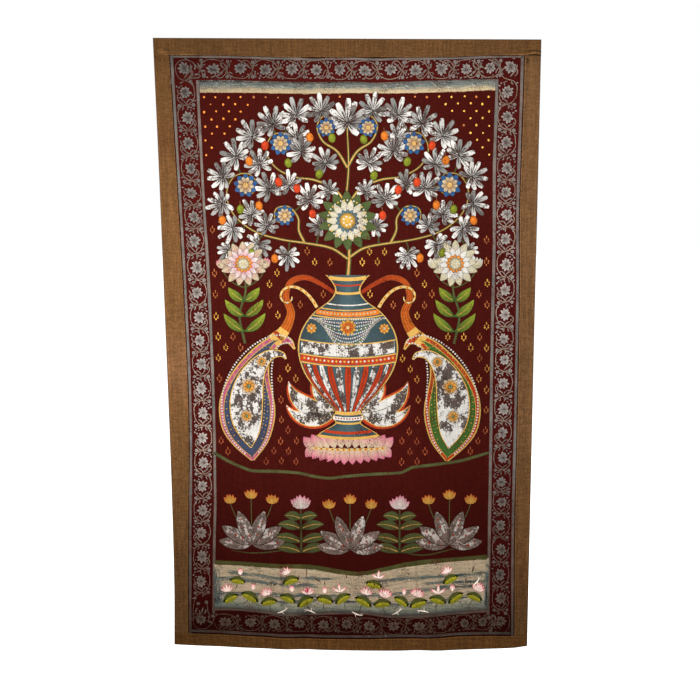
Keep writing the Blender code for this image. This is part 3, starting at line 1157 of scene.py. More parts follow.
def scroll(material):
    pieces = []
    for side in SIDES:
        paint = Paint(side.name, material)
        band(paint, side)
        for place in side.corners:
            corner(paint, *place)
        if side.name == "scroll_left":
            corner_twigs(paint)
        pieces.append(paint.lay(side.load))
    return pieces


# Bands and repeats of the field

def column_tints(*stops):
    """Colours for the rows of a band from its foot up, from (share, tint) stops."""
    shares = [share for share, _ in stops]
    tints = np.array([tint for _, tint in stops])
    return lambda at: np.stack([np.interp(at, shares, tints[:, i]) for i in range(3)], -1)


# Dry brush marks of a band: how many, between which shares of its height, their length and
# width in millimetres, their change of tone, and a cooler or warmer tint that some lean to
Marks = namedtuple("Marks", "count low high length width change upright coat cool",
                   defaults=(False, 1, None))


class Band:
    """A wide band of paint between two courses, whose colours run unevenly upwards."""

    def __init__(self, paint, left, right, foot, head, tint_at):
        self.paint, self.tint_at = paint, tint_at
        self.left, self.right, self.foot, self.head = left, right, foot, head

    def z(self, x, share):
        return self.foot(x) * (1 - share) + self.head(x) * share

    def ground(self, rows, waver, lean=0.0):
        """The ground coat, whose colours waver up and down along the band."""
        x = np.arange(self.left, self.right + BAND_COLUMN, BAND_COLUMN)
        share = np.linspace(0, 1, rows)[:, None]
        wavers = [jitter(waver) for _ in range(BAND_WAVERS)]
        shift = along_run(wavers, np.linspace(0, 1, len(x)))[None]
        shift = shift + lean * soft_step(x, -0.10, 0.25)
        load = np.array([rand(0.91, 1.07) for _ in range(rows * len(x))])
        bent_share = np.clip(share + shift * share * (1 - share) * 4, 0, 1)
        self.paint.net(pairs(x, self.z(x, share)),
                       self.tint_at(bent_share) * load.reshape(rows, len(x), 1))

    def brush(self, marks):
        length, width = marks.length * MM, marks.width * MM
        places = np.linspace(0, 1, 4)
        for _ in range(marks.count):
            share = rand(marks.low, marks.high)
            x = rand(self.left, self.right)
            off = rand(0.4, 1.0) * length * (places - 0.5)
            if marks.upright:
                z = np.clip(self.z(x, share) - off, self.z(x, 0), self.z(x, 1))
                path = pairs(x + 0.6 * MM * places * jitter(2), z)
            else:
                run = np.clip(x + off, self.left, self.right)
                path = pairs(run, self.z(run, share + jitter(0.01) * places))
            tint = vary(self.tint_at(np.array(share)), marks.change)
            if marks.cool is not None:
                tint = tint + (marks.cool - tint) * rand(0, 0.75)
            thick = rand(0.5, 1.0) * width
            self.paint.stroke(path, [0.4 * MM, thick, thick * 0.8, 0.4 * MM], tint,
                              marks.coat + hand.choice((0, 1)))


SKY_TINTS = column_tints((0, SKY_CREAM * (1.0, 0.90, 0.80)), (0.08, SKY_CREAM * 1.15),
                         (0.30, SKY_CREAM * 0.98), (0.44, (SKY_CREAM + SKY_BLUE) / 2),
                         (0.56, SKY_BLUE * 1.1), (0.76, SKY_BLUE * (0.86, 0.82, 0.82)),
                         (0.88, SKY_BLUE * (0.90, 0.78, 0.76)), (1, GREY * 0.62))
SKY_MARKS = (
    Marks(300, 0.40, 0.90, 60, 1.8, 0.24),
    Marks(160, 0.04, 0.42, 26, 1.8, 0.12),
    Marks(150, 0.26, 0.70, 22, 1.8, 0.20, coat=3, cool=SKY_BLUE * 1.05),
    Marks(110, 0.34, 0.80, 22, 1.6, 0.20, coat=3, cool=SKY_CREAM * 1.15),
    Marks(260, 0.05, 0.85, 16, 1.1, 0.26, upright=True, coat=4),
)


def sky_band(material):
    """The pale band under the top frame line, cream below and slate above."""
    paint = Paint("sky_band", material)
    sky = Band(paint, -0.3505, 0.3515, SKY_FOOT, lambda x: INNER_TOP(x) - 0.8 * MM, SKY_TINTS)
    sky.ground(15, 0.22, lean=0.12)
    for marks in SKY_MARKS:
        sky.brush(marks)
    for _ in range(16):
        x = rand(sky.left + 0.03, sky.right - 0.03)
        z = sky.z(x, rand(0.5, 0.85))
        paint.stroke([(x, z), (x + 9 * MM, z - 6 * MM)], mm(0.4, 1.3, 0.4), WHITE * 0.75, 7)
    for _ in range(70):
        x = rand(sky.left + 3 * MM, sky.right - 8 * MM)
        z = SKY_FOOT(x) + rand(-0.7, 1.2) * MM
        paint.stroke([(x, z), (x + rand(4, 14) * MM, z + jitter(0.5 * MM))],
                     mm(0.5, 1.5, 0.5), vary(SKY_CREAM * (0.92, 0.80, 0.68)), 2)
    # Lighter towards the right: painted light, where more light falls on the top right
    return paint.lay(lambda x, z: 0.90 + 0.24 * soft_step(x, -0.30, 0.30))


# Staggered rows of marks across the field
Rows = namedtuple("Rows", "first last step pitch shift")

PLACE_WAVER = (1.6 * MM, 1.3 * MM)
DOT_ROWS = Rows(-0.134, -0.272, 17 * MM, 29.5 * MM, 0.013)
SPRIG_ROWS = Rows(-0.290, -1.045, 26.5 * MM, 38 * MM, 0.016)
SPRIG_CLEARANCE = 12 * MM


def places_of(rows):
    """The places of the rows, each a little off."""
    z, odd = rows.first, False
    while z > rows.last:
        x = INNER_LEFT(z) + rows.shift + (rows.pitch / 2 if odd else 0)
        while x < INNER_RIGHT(z) - rows.shift * 0.6:
            yield x + jitter(PLACE_WAVER[0]), z + jitter(PLACE_WAVER[1])
            x += rows.pitch
        z -= rows.step
        odd = not odd


def covered_by(paints):
    """A test whether marks of other paints lie at a place or close to it."""
    cell = 6.6 * MM
    points = np.vstack([net for paint in paints for net in paint.points])
    cells = {tuple(at) for at in np.floor(points / cell).astype(int).tolist()}

    def taken(x, z):
        i, k = floor(x / cell), floor(z / cell)
        return any((i + a, k + b) in cells for a in (-1, 0, 1) for b in (-1, 0, 1))

    return taken


def dots(material, taken):
    """Rows of gold dots under the sky band, bright in the middle and at the left."""
    paint = Paint("gold_dots", material)
    for x, z in places_of(DOT_ROWS):
        if taken(x, z):
            continue
        bright = DOT * (1, 0.62, 0.60) + DOT * (0, 0.46, 0.50) * soft_step(x, -0.22, 0.20)
        dull = 0.12 + 0.70 * (1 - soft_step(abs(x), 0.15, 0.27))
        tint = vary(DULL_DOT, 0.25) if hand.random() < dull else vary(bright * 0.9, 0.14)
        paint.disc(x, z, rand(2.2, 2.9) * MM, tint * 1.75, rim=tint * 1.15,
                   tall=rand(0.9, 1.15))
    return paint.lay()


# A sprig: the dots of its ring, in millimetres from its middle, and their radii
SPRIG = ((-4.7, 2.2, 1.75), (4.7, 2.2, 1.75), (-4.3, -2.8, 1.8), (4.3, -2.8, 1.8), (0, -7.0, 2.0))


def sprig(paint, x, z, tint, size):
    """A stem over a ring of five dots."""
    turn = jitter(0.12)
    for along, up, radius in SPRIG:
        paint.disc(x + (along * cos(turn) - up * sin(turn)) * MM * size,
                   z + (along * sin(turn) + up * cos(turn)) * MM * size,
                   radius * MM * size * rand(0.85, 1.15), vary(tint, 0.2), tall=1.25)
    lean = jitter(0.5 * MM)
    stem = [(x, z + 4.0 * MM * size), (x + lean, z + 8.0 * MM * size),
            (x + lean * 2, z + 11.5 * MM * size)]
    paint.stroke(stem, mm(1.8, 3.2, 1.0) * size, vary(tint, 0.15))


def sprigs(material, taken):
    """Sprigs all over the field, bright above and worn to the colour of rust near the ground."""
    paint = Paint("sprigs", material)
    for x, z in places_of(SPRIG_ROWS):
        if z < GROUND(x) + SPRIG_CLEARANCE or taken(x, z):
            continue
        worn = soft_step(-z, 0.62, 1.02)
        bright = hand.choice((DOT * 0.85, DOT * 0.70, DULL_DOT * 1.05, DULL_DOT * 0.8))
        sprig(paint, x, z, bright * (1 - worn) + RUST * worn, rand(0.92, 1.06))
    return paint.lay()


# Ground line, lower ground line and the pond band
GROUND = course((-0.345, -1.008), (-0.334, -1.013), (-0.304, -1.031), (-0.265, -1.049),
                (-0.239, -1.057), (-0.183, -1.058), (-0.127, -1.062), (-0.084, -1.071),
                (-0.046, -1.075), (-0.003, -1.070), (0.060, -1.0645), (0.120, -1.0615),
                (0.136, -1.059), (0.150, -1.052), (0.164, -1.046), (0.200, -1.0415),
                (0.256, -1.034), (0.284, -1.029), (0.312, -1.021), (0.354, -1.008))


def ground_lines(material):
    """The ground line, the line over the pond and two thin ones between them."""
    paint = Paint("ground_lines", material)
    x = np.linspace(-0.343, 0.353, 140)
    line(paint, pairs(x, GROUND(x)), 7.6 * MM, OLIVE * (1.02, 0.90, 0.98),
         OLIVE * (0.1, 0, -0.1))
    with over(4):
        line(paint, pairs(x, POND_TOP(x) - 4.0 * MM), 12.5 * MM, POND_RIM,
             OLIVE * (-0.1, 0.1, 0))
    for start, end, rise in ((-0.300, -0.115, 0.012), (0.130, 0.310, 0.020)):
        x = np.linspace(start, end, 40)
        z = -1.268 - rise * np.sin((x - start) / (end - start) * pi * 1.6) * 0.5
        paint.stroke(pairs(x, z), mm(0.8, 3.0, 3.4, 2.8, 0.6), OLIVE * 0.8, 1)
    return paint.lay()


WATER = POND_BLUE * (1.0, 1.16, 1.20)
POND_TINTS = column_tints(
    (0, POND_BLUE * (0.66, 0.56, 0.50)), (0.04, WATER * (1.35, 1.22, 1.12)),
    (0.10, WATER * (2.50, 2.30, 2.00)), (0.16, WATER * (3.10, 2.75, 2.15)),
    (0.23, (WATER * 2.9 + POND_SAND) / 2), (0.32, POND_SAND * 0.90),
    (0.55, POND_SAND * 0.98), (0.75, POND_SAND * (0.86, 0.86, 0.82)),
    (1, POND_SAND * (0.94, 0.92, 0.88)))
POND_MARKS = (
    Marks(560, 0.16, 1.0, 42, 2.2, 0.24),
    Marks(800, 0.16, 0.97, 36, 1.8, 0.16, cool=WATER),
    Marks(420, 0.55, 0.99, 22, 2.4, 0.18, coat=3, cool=WATER * (2.0, 2.0, 1.6)),
    Marks(700, 0.16, 1.0, 12, 1.3, 0.30, upright=True, coat=3),
    Marks(520, 0.0, 0.26, 34, 1.6, 0.46, coat=3),
    Marks(260, 0.02, 0.17, 30, 2.2, 0.20, coat=3, cool=WATER * (0.7, 0.95, 1.1)),
    Marks(120, 0.05, 0.60, 14, 1.3, 0.10, coat=5, cool=POND_SAND * 1.5),
    Marks(420, 0.0, 0.26, 12, 1.2, 0.46, upright=True, coat=3),
)

# Ripples of the pond: how far up the band, where they start and end, and how thick they are
Ripple = namedtuple("Ripple", "share start end thick")

RIPPLES = (
    Ripple(0.64, -0.340, -0.080, 5.0), Ripple(0.80, -0.300, -0.050, 4.0),
    Ripple(0.37, -0.340, -0.010, 4.5), Ripple(0.47, 0.020, 0.352, 4.5),
    Ripple(0.74, 0.060, 0.352, 3.6), Ripple(0.59, 0.200, 0.352, 3.0),
    Ripple(0.26, -0.180, 0.300, 2.6),
)

# Drips from the pond's upper edge, each starting somewhere in a reach under it, in millimetres
Drip = namedtuple("Drip", "x reach drop width")

DRIPS = (
    Drip(-0.108, 3, 30, 2.2), Drip(-0.062, 60, 14, 2.2), Drip(-0.005, 60, 9, 3.0),
    Drip(0.300, 60, 14, 2.6), Drip(0.155, 60, 8, 2.4), Drip(-0.128, 60, 7, 3.2),
    Drip(-0.240, 60, 6, 3.0), Drip(0.075, 60, 10, 2.0), Drip(0.232, 60, 7, 2.4),
)

# Short brown marks: place, length in millimetres and turn in degrees
Stick = namedtuple("Stick", "x z length turn")

STICKS = (
    Stick(-0.103, -1.203, 6, 20), Stick(-0.089, -1.338, 24, -40),
    Stick(0.316, -1.324, 17, 74), Stick(-0.193, -1.359, 10, 20),
)


def ripples(paint, water):
    """Many short level strokes along each ripple, and short upright ones over it."""
    for ripple in RIPPLES:
        def crest(run):
            return water.z(run, ripple.share + 0.030 * np.sin(run * 15 + ripple.share * 9))

        for _ in range(int((ripple.end - ripple.start) / (2.2 * MM))):
            x = rand(ripple.start, ripple.end)
            run = np.clip(x + np.linspace(-0.5, 0.5, 6) * rand(12, 34) * MM,
                          water.left, water.right)
            z = crest(run) + hand.gauss(0, ripple.thick * 0.62 * MM)
            paint.stroke(pairs(run, z), np.array([0.3, 1.0, 0.8, 0.3]) * rand(0.9, 1.8) * MM,
                         WATER * (0.92, 1.0, 1.0) * rand(0.60, 1.35), 5)
        for _ in range(int((ripple.end - ripple.start) / (2.4 * MM))):
            x = rand(ripple.start, ripple.end)
            top = crest(x)
            paint.stroke([(x, top + 3 * MM), (x, top), (x, top - rand(4, 10) * MM)],
                         mm(0.3, 1.2, 0.3), vary(WATER * 1.1, 0.3), 5)


def pond(material):
    """The sandy pond band, with blue brush strokes along its ripples and its edges."""
    paint = Paint("pond_band", material)
    water = Band(paint, -0.3465, 0.3560, lambda x: INNER_BOTTOM(x) + 3 * MM,
                 lambda x: POND_TOP(x) - 7 * MM, POND_TINTS)
    water.ground(38, 0.07)
    for marks in POND_MARKS:
        water.brush(marks)
    ripples(paint, water)
    for side, way, reach, count in ((water.left, 1, 8, 240), (water.right, -1, 3, 110)):
        for _ in range(count):
            x = side + way * abs(hand.gauss(0, reach * MM))
            low, high = sorted((rand(0.02, 0.97), rand(0.02, 0.97)))
            paint.stroke([(x, water.z(x, low)), (x, water.z(x, min(high, low + 0.16)))],
                         mm(0.3, 1.1, 0.3), vary(WATER * (1.15, 1.30, 1.35), 0.3), 7)
    for x, reach, drop, width in DRIPS:
        z = water.z(x, 1) - rand(0, reach) * MM
        paint.stroke([(x, z), (x + jitter(2 * MM), z - drop * MM)],
                     mm(0.5, 1.0, 0.8, 0.4) * width, pigment(120, 62, 42), 7)
    for x, z, length, turn in STICKS:
        paint.stroke(bent(x, z, turn, length * MM), mm(1.6, 3.4, 1.0), pigment(104, 74, 50), 7)
    for x, tint in ((0.052, WHITE * 0.7), (0.096, WHITE * 1.6)):
        paint.disc(x, PANEL["bottom"](x) + 9 * MM, 1.6 * MM, tint, 7)
    return paint.lay()


# The middle of the field: a flowering tree in a jewelled vase between two tall paisleys, with a
# row of plants under the ground line. It is a design of its own in the hanging's colours.

Brushes = namedtuple("Brushes", "matt silver bright worn gold")

# Widths of leaves and petals along their middle line, as shares of the greatest
LEAF = np.array([0.10, 0.62, 0.94, 1.0, 0.84, 0.50, 0.03])
LANCE = np.array([0.16, 0.52, 0.84, 1.0, 0.98, 0.74, 0.16])
LOBE = np.array([0.14, 0.40, 0.66, 0.88, 1.0, 0.96, 0.60])
OVAL = np.array([0.20, 0.72, 0.96, 1.0, 0.90, 0.64, 0.10])
LENS = np.array([0.04, 0.52, 0.86, 1.0, 0.86, 0.52, 0.04])
GORE = np.array([0.7, 1.0, 0.95, 0.75, 0.5, 0.25])


def bent(x, z, heading, length, bend=0.0, coil=0.0, count=9):
    """A run from a place: a heading in degrees, an even turn, and a curl that tightens."""
    t = np.linspace(0, 1, count)
    turn = np.radians(heading + bend * t + coil * t**3)
    moves = np.stack([np.cos(turn), np.sin(turn)], 1)[:-1] * length / (count - 1)
    return np.vstack([[(x, z)], (x, z) + np.cumsum(moves, 0)])


def leaf(b, path, width, tint, tip=None, rim=DARK, rib=None, shape=LEAF, paint=None,
         line_width=1.6 * MM, fade=1.0):
    """A leaf or petal: a dark outline, the body over it and a rib over both."""
    b.matt.stroke(path, shape * width + line_width, rim)
    (paint or b.matt).stroke(path, shape * width, tint, 1, tip=tip, edge=0.85, fade=fade)
    if rib is not None:
        b.matt.stroke(path[1:-2], mm(1.5, 0.5), rib, 2)


def bloom(b, x, z, radius, petals, rings, heart):
    """A round flower seen from the front. rings holds a tint and a tip for each ring."""
    foot = radius * 0.10
    for ring, (body, tip) in enumerate(rings):
        reach = radius * (1 - 0.30 * ring)
        for index in range(petals):
            heading = (index + 0.5 * ring) * 360 / petals + jitter(2) + 90
            start = bent(x, z, heading, foot)[-1]
            path = bent(*start, heading, (reach - foot) * rand(0.95, 1.03))
            with over(4 * ring + 2 * (index % 2)):
                leaf(b, path, 2 * pi * reach * 0.72 / petals, vary(body), tip=vary(tip),
                     shape=LANCE)
    high = 4 * len(rings)
    b.matt.disc(x, z, radius * 0.27, heart * 0.5, high)
    b.matt.disc(x, z, radius * 0.22, heart * 1.1, high + 1, rim=heart * 0.8)
    for a in 2 * pi * np.arange(7) / 7:
        b.matt.disc(x + cos(a) * radius * 0.14, z + sin(a) * radius * 0.14, radius * 0.032,
                    WHITE, high + 2)


def lotus(b, x, z, size, petals=7, spread=132, body=WHITE, tip=PINK, wide=0.40, fade=2.4,
          lean=0.0):
    """A lotus seen from the side, its outer petals drawn first."""
    turns = sorted(np.linspace(-spread / 2, spread / 2, petals), key=lambda turn: -abs(turn))
    for index, turn in enumerate(turns):
        length = size * (1 - 0.18 * abs(turn) / spread) * rand(0.94, 1.05)
        path = bent(x, z, 90 + lean - turn + jitter(3), length, bend=turn * 0.25)
        with over(index // 2 * 2):
            leaf(b, path, size * wide, vary(body, 0.05), tip=vary(tip), rim=tip * 0.6,
                 line_width=min(0.028 * size, 1.6 * MM), fade=fade)


def pearls(b, path, gap, radius, *tints):
    """A string of pearls along a path, in one tint or in several by turns."""
    steps = np.concatenate([[0], np.cumsum(np.linalg.norm(np.diff(path, axis=0), axis=1))])
    for index, at in enumerate(np.arange(gap / 2, steps[-1], gap)):
        x, z = (np.interp(at, steps, path[:, i]) for i in range(2))
        tint = vary(tints[index % len(tints)], 0.06)
        b.matt.disc(x, z, radius, tint, rim=tint * 0.72)


def swag(reach, z, drop):
    """A curve that hangs between two places at the same height."""
    t = np.linspace(0, 1, 21)
    return pairs(-reach * (1 - t) + reach * t, z * (1 - t) + z * t - drop * 4 * (t * (1 - t)))


def fruit(b, x, z, tint):
    b.matt.stroke([(x + jitter(2 * MM), z + 20 * MM), (x, z + 9 * MM)], mm(1.4), CLAY * 0.7)
    turn = jitter(0.3)
    for coat, dx, dz, radius, shade in ((5, 0, 0, 9.4, tint * 0.4), (6, 0, 0, 8.2, tint),
                                        (7, -2.2, 2.6, 3.6, tint * 1.35)):
        b.matt.disc(x + dx * MM, z + dz * MM, radius * MM, shade, coat, rim=shade * 0.86,
                    tall=1.28, turn=turn)


def fan(b, x, z, heading, size=1.0, leaves=9):
    """A round spray of lobed leaves in silver, some of them tarnished, dark at their feet."""
    for index, turn in enumerate(sorted(np.linspace(-150, 150, leaves), key=lambda t: -abs(t))):
        reach = (43 - 0.07 * abs(turn)) * MM * size * rand(0.92, 1.06)
        path = bent(x, z, heading + turn + jitter(4), reach, bend=-turn * 0.22)
        tint = SILVER * hand.choice((0.34, 0.6, 0.9, 1.1, 1.2))
        with over(index // 3 * 2):
            leaf(b, path, 11.4 * MM * size, tint * 0.55, tip=tint * 1.15, rim=FIELD * 0.7,
                 shape=LOBE, paint=b.bright, line_width=3.0 * MM)
            b.matt.stroke(path[1:-3], mm(1.2, 2.2, 0.5), DARK, 2)
    b.matt.disc(x, z, 3.2 * MM * size, DARK, 5)


# Branches of the tree on its right side, from the trunk out, and how their curls are filled
Branch = namedtuple("Branch", "knots bloom")

BRANCHES = (
    Branch(((0, -520), (40, -494), (100, -482), (165, -472), (228, -452), (276, -412),
            (292, -362), (274, -322), (240, -314), (220, -334), (228, -360), (250, -362)),
           ((246, -342), 29)),
    Branch(((0, -392), (30, -352), (78, -330), (128, -322), (172, -300), (194, -262),
            (182, -226), (152, -218), (136, -238), (146, -262)), ((160, -243), 27)),
    Branch(((0, -300), (24, -262), (58, -238), (72, -204), (58, -180), (36, -184),
            (32, -206)), ((50, -206), 23)),
    Branch(((104, -482), (118, -452), (120, -420), (142, -394), (172, -398), (176, -424),
            (158, -434)), ((152, -415), 25)),
)

# Silver sprays of the tree: place in millimetres, heading in degrees and size
FANS = (
    (62, -166, 82, 0.98), (122, -176, 74, 1.0), (178, -196, 66, 1.0), (228, -226, 58, 1.02),
    (268, -272, 50, 1.0), (300, -322, 26, 0.95), (304, -386, -14, 0.92), (110, -262, 92, 1.0),
    (212, -292, 62, 0.95), (92, -376, 84, 0.95), (188, -350, 70, 1.0), (280, -446, -34, 0.95),
    (218, -486, -62, 0.95), (66, -440, 40, 0.8), (146, -512, -84, 0.85), (52, -290, 70, 0.9),
    (232, -412, 60, 0.9), (120, -230, 84, 0.9), (196, -440, 80, 0.8), (44, -356, 60, 0.7),
    (140, -342, 84, 0.85), (292, -500, -50, 0.7),
)

# Fruit of the tree: place in millimetres
FRUITS = (
    (92, -226), (142, -288), (200, -246), (238, -284), (66, -318), (168, -334), (216, -392),
    (258, -398), (120, -352), (304, -428), (232, -504), (84, -412), (176, -520), (38, -232),
)


def tree(b):
    """The trunk, its coiling branches with blooms in the coils, silver sprays and fruit."""
    runs = [smooth(((0.0, -0.575), (0.004, -0.500), (-0.004, -0.400), (0.003, -0.300),
                    (0.0, -0.205)), 8)]
    for side in (-1, 1):
        runs += [smooth(np.array(branch.knots) * MM * (side, 1), 8) for branch in BRANCHES]
    for index, run in enumerate(runs):
        thick = 1.0 if index else 1.5
        b.matt.stroke(run, mm(8.5, 7, 5.5, 4.5, 3) * thick, OLIVE * 0.6)
        b.gold.stroke(run, mm(4, 3, 2, 1.5, 1) * thick, GOLD * 0.8, 1)
    joints = np.vstack([run[6:] for run in runs])
    for side in (-1, 1):
        for x, z, heading, size in FANS:
            base = np.array([x * side, z]) * MM
            root = joints[np.argmin(np.linalg.norm(joints - base, axis=1))]
            twig = smooth([root, (root + base) / 2 + (jitter(4 * MM), 3 * MM), base], 4)
            b.matt.stroke(twig, mm(4, 3), OLIVE * 0.6)
            with over(2):
                fan(b, *base, heading if side > 0 else 180 - heading, size)
        for index, (x, z) in enumerate(FRUITS):
            with over(4):
                fruit(b, x * side * MM + jitter(3 * MM), z * MM + jitter(3 * MM),
                      (ORANGE, LEAF_GREEN * 0.75, VERMILION * 1.25)[index % 3])
        for branch in BRANCHES:
            (x, z), radius = branch.bloom
            with over(6):
                bloom(b, x * side * MM, z * MM, radius * MM, 9,
                      ((BLUE * 0.9, BLUE * 1.5), (CLAY, CREAM)), GOLD)
    with over(2):
        fan(b, 0.0, -0.192, 90, 1.25, leaves=11)
    with over(8):
        bloom(b, 0.0, -0.428, 0.072, 14,
              ((GREEN * 0.5, OLIVE), (SILVER, CREAM), (TEAL * 0.8, TEAL * 1.3)), GOLD)
    with over(20):
        ring = bent(0.0455, -0.428, 90, 2 * pi * 0.0455, bend=352, count=40)
        pearls(b, ring, 8 * MM, 2.1 * MM, GOLD * 1.2, WHITE)


VASE = smooth(((-0.560, 0.052), (-0.572, 0.041), (-0.596, 0.029), (-0.622, 0.042),
               (-0.655, 0.084), (-0.700, 0.114), (-0.750, 0.122), (-0.802, 0.108),
               (-0.848, 0.077), (-0.884, 0.043), (-0.903, 0.030), (-0.918, 0.038),
               (-0.933, 0.030), (-0.953, 0.062), (-0.968, 0.082)), 6)

# Belts of the vase: middle, height in millimetres, finish and tint
BELTS = (
    (-0.566, 9, "gold", GOLD), (-0.583, 4, "matt", VERMILION), (-0.603, 6, "gold", GOLD),
    (-0.630, 3, "matt", WHITE), (-0.650, 12, "matt", ORANGE), (-0.659, 3, "gold", GOLD),
    (-0.641, 3, "gold", GOLD), (-0.720, 3, "gold", GOLD), (-0.765, 15, "matt", VERMILION),
    (-0.755, 3.5, "gold", GOLD), (-0.776, 3.5, "gold", GOLD), (-0.905, 9, "gold", GOLD),
    (-0.918, 9, "matt", WHITE), (-0.931, 5, "gold", GOLD), (-0.952, 7, "matt", VERMILION),
    (-0.964, 7, "gold", GOLD),
)


def vase_half(z):
    """Half the width of the vase at a height."""
    return np.interp(z, VASE[::-1, 0], VASE[::-1, 1])


def belt(z, share=0.98):
    """A line round the vase, bowed as on a round body."""
    half = vase_half(z) * share
    x = np.linspace(-half, half, 41)
    return pairs(x, z - 0.10 * half * (1 - (x / half) ** 2))


def vase(b):
    z = np.linspace(VASE[0, 0], VASE[-1, 0], 90)
    path, half = pairs(0.0, z), vase_half(z)
    b.matt.stroke(path, 2 * half + 7 * MM, DARK)
    b.gold.stroke(path, 2 * half + 4 * MM, GOLD * 0.9, 1)
    b.matt.stroke(path, 2 * half - 3 * MM, TEAL * 0.85, 2, edge=0.5)
    rows = [belt(at, 0.95) for at in np.linspace(-0.752, -0.722, 7)]
    b.silver.net(np.stack(rows), SILVER, 3)
    for index in range(-6, 7):
        share = index / 6.5
        z = np.linspace(-0.780, -0.900, 24)
        side = np.sin(share * 1.35) * vase_half(z) * 0.98
        paint, tint = (b.silver, SILVER) if index % 2 else (b.matt, VERMILION)
        with over(3):
            leaf(b, pairs(side, z - 0.006 * cos(share * 1.5)), 15 * MM * cos(share * 1.2),
                 vary(tint), rib=DARK, paint=paint, shape=GORE)
    for z, height, finish, tint in BELTS:
        getattr(b, finish).stroke(belt(z), [height * MM], tint, 6)
    with over(7):
        pearls(b, belt(-0.650, 0.92), 9 * MM, 2.6 * MM, CREAM)
        pearls(b, belt(-0.765, 0.94), 10 * MM, 3.0 * MM, GOLD * 1.2, WHITE)
        pearls(b, belt(-0.918, 0.9), 7 * MM, 2.2 * MM, VERMILION)
        for index in range(9):
            reach = vase_half(-0.670) * (0.98 - index * 0.035)
            pearls(b, swag(reach, -0.666, 0.004 + index * 0.0096), 5.6 * MM, 2.1 * MM, WHITE,
                   (WHITE, ROSE, WHITE, LEAF_GREEN)[index % 4])
        for x in (-0.090, 0.090):
            bloom(b, x, -0.692, 0.013, 8, ((ORANGE, GOLD),), CREAM)
    with over(9):
        bloom(b, 0.0, -0.690, 0.021, 10, ((ORANGE, GOLD), (VERMILION, ORANGE)), GOLD)
    for side in (-1, 1):
        handle = bent(0.076, -0.640, 62, 0.170, -60, -300, count=44) * (side, 1)
        b.matt.stroke(handle, mm(11, 9, 5), DARK)
        b.gold.stroke(handle, mm(8, 6.4, 3), GOLD, 1)
        with over(2):
            pearls(b, handle, 8 * MM, 1.8 * MM, WHITE, VERMILION)


# A sash: its middle line in millimetres, and its width there
SASH = ((22, -612), (62, -584), (104, -566), (140, -578), (152, -616), (140, -654),
        (156, -696), (186, -726))
SASH_WIDTH = mm(7, 10, 13, 14, 16, 20, 27, 36)


def ribbons(b):
    """Two sashes from the neck of the vase, with gold ends."""
    for side in (-1, 1):
        path = smooth(np.array(SASH) * MM * (side, 1), 8)
        wide = along_run(SASH_WIDTH, np.linspace(0, 1, len(path)))[:, None]
        b.matt.stroke(path, SASH_WIDTH + 2 * MM, DARK)
        b.matt.stroke(path, SASH_WIDTH, VERMILION, 1, tip=ORANGE * 0.9, edge=0.7)
        for share in (-0.26, 0.0, 0.26):
            b.matt.stroke(path + beside(path) * wide * share, mm(1.2), VERMILION * 0.45, 2)
        b.gold.stroke(path[-9:], SASH_WIDTH[-2:], GOLD, 3)
        b.matt.stroke(path[-6:-3], SASH_WIDTH[-2:], VERMILION, 3)


def foot_leaves(b):
    """Great curling leaves beside the foot of the vase, orange-red with silver hearts."""
    layers = ((b.matt, 3, DARK), (b.matt, 0, VERMILION), (b.gold, -10, GOLD),
              (b.silver, -14, SILVER))
    for side in (-1, 1):
        for heading, length, width, bend in ((-4, 0.165, 0.056, 62), (-30, 0.150, 0.048, 66),
                                             (28, 0.130, 0.044, 62)):
            path = bent(0.022, -0.905, heading, length, bend, 30, count=26) * (side, 1)
            for coat, (paint, more, tint) in enumerate(layers):
                paint.stroke(path[coat // 2:], np.maximum(LEAF * width + more * MM, 0), tint,
                             coat)
            b.matt.stroke(path[1:-3], mm(2.0, 1.0), DARK, 4)
            with over(5):
                pearls(b, path[3:-3], 9 * MM, 1.6 * MM, CREAM)


SEAT_LEVEL = -0.996
SEAT_HALF = 0.092


def pedestal(b):
    """A double lotus seat under the vase."""
    for row, (count, up, length) in enumerate(((11, 1, 0.052), (12, -1, 0.044))):
        middle = (count - 1) / 2
        for index in sorted(range(count), key=lambda i: -abs(i - middle)):
            share = (index - middle) / middle
            path = bent(share * 0.082, SEAT_LEVEL, (90 - share * 58) * up,
                        length * (1 - 0.2 * abs(share)), bend=share * 26 * up)
            with over(4 * row + (index % 2) * 2):
                leaf(b, path, 0.026, vary(CREAM * 1.05, 0.05), tip=vary(PINK), rim=PINK * 0.4)
    x = np.linspace(-SEAT_HALF, SEAT_HALF, 30)
    rim = pairs(x, SEAT_LEVEL - 0.005 * (1 - (x / SEAT_HALF) ** 2))
    b.gold.stroke(rim, mm(6), GOLD, 9)
    with over(10):
        pearls(b, rim, 7 * MM, 2.0 * MM, WHITE, VERMILION)


# A paisley's middle line up from its foot, and its width there, as shares of its height
PAISLEY_LINE = smooth(((0, 0), (0.015, 0.15), (0.035, 0.32), (0.030, 0.50), (-0.010, 0.68),
                       (-0.085, 0.83), (-0.185, 0.925), (-0.285, 0.930), (-0.330, 0.865)), 8)
PAISLEY_WIDTH = np.array([0.02, 0.24, 0.37, 0.42, 0.41, 0.34, 0.25, 0.165, 0.105, 0.06, 0.01])

# Strings of pearls in a paisley, in millimetres, and where along its line they start
PearlRow = namedtuple("PearlRow", "inset first gap radius")


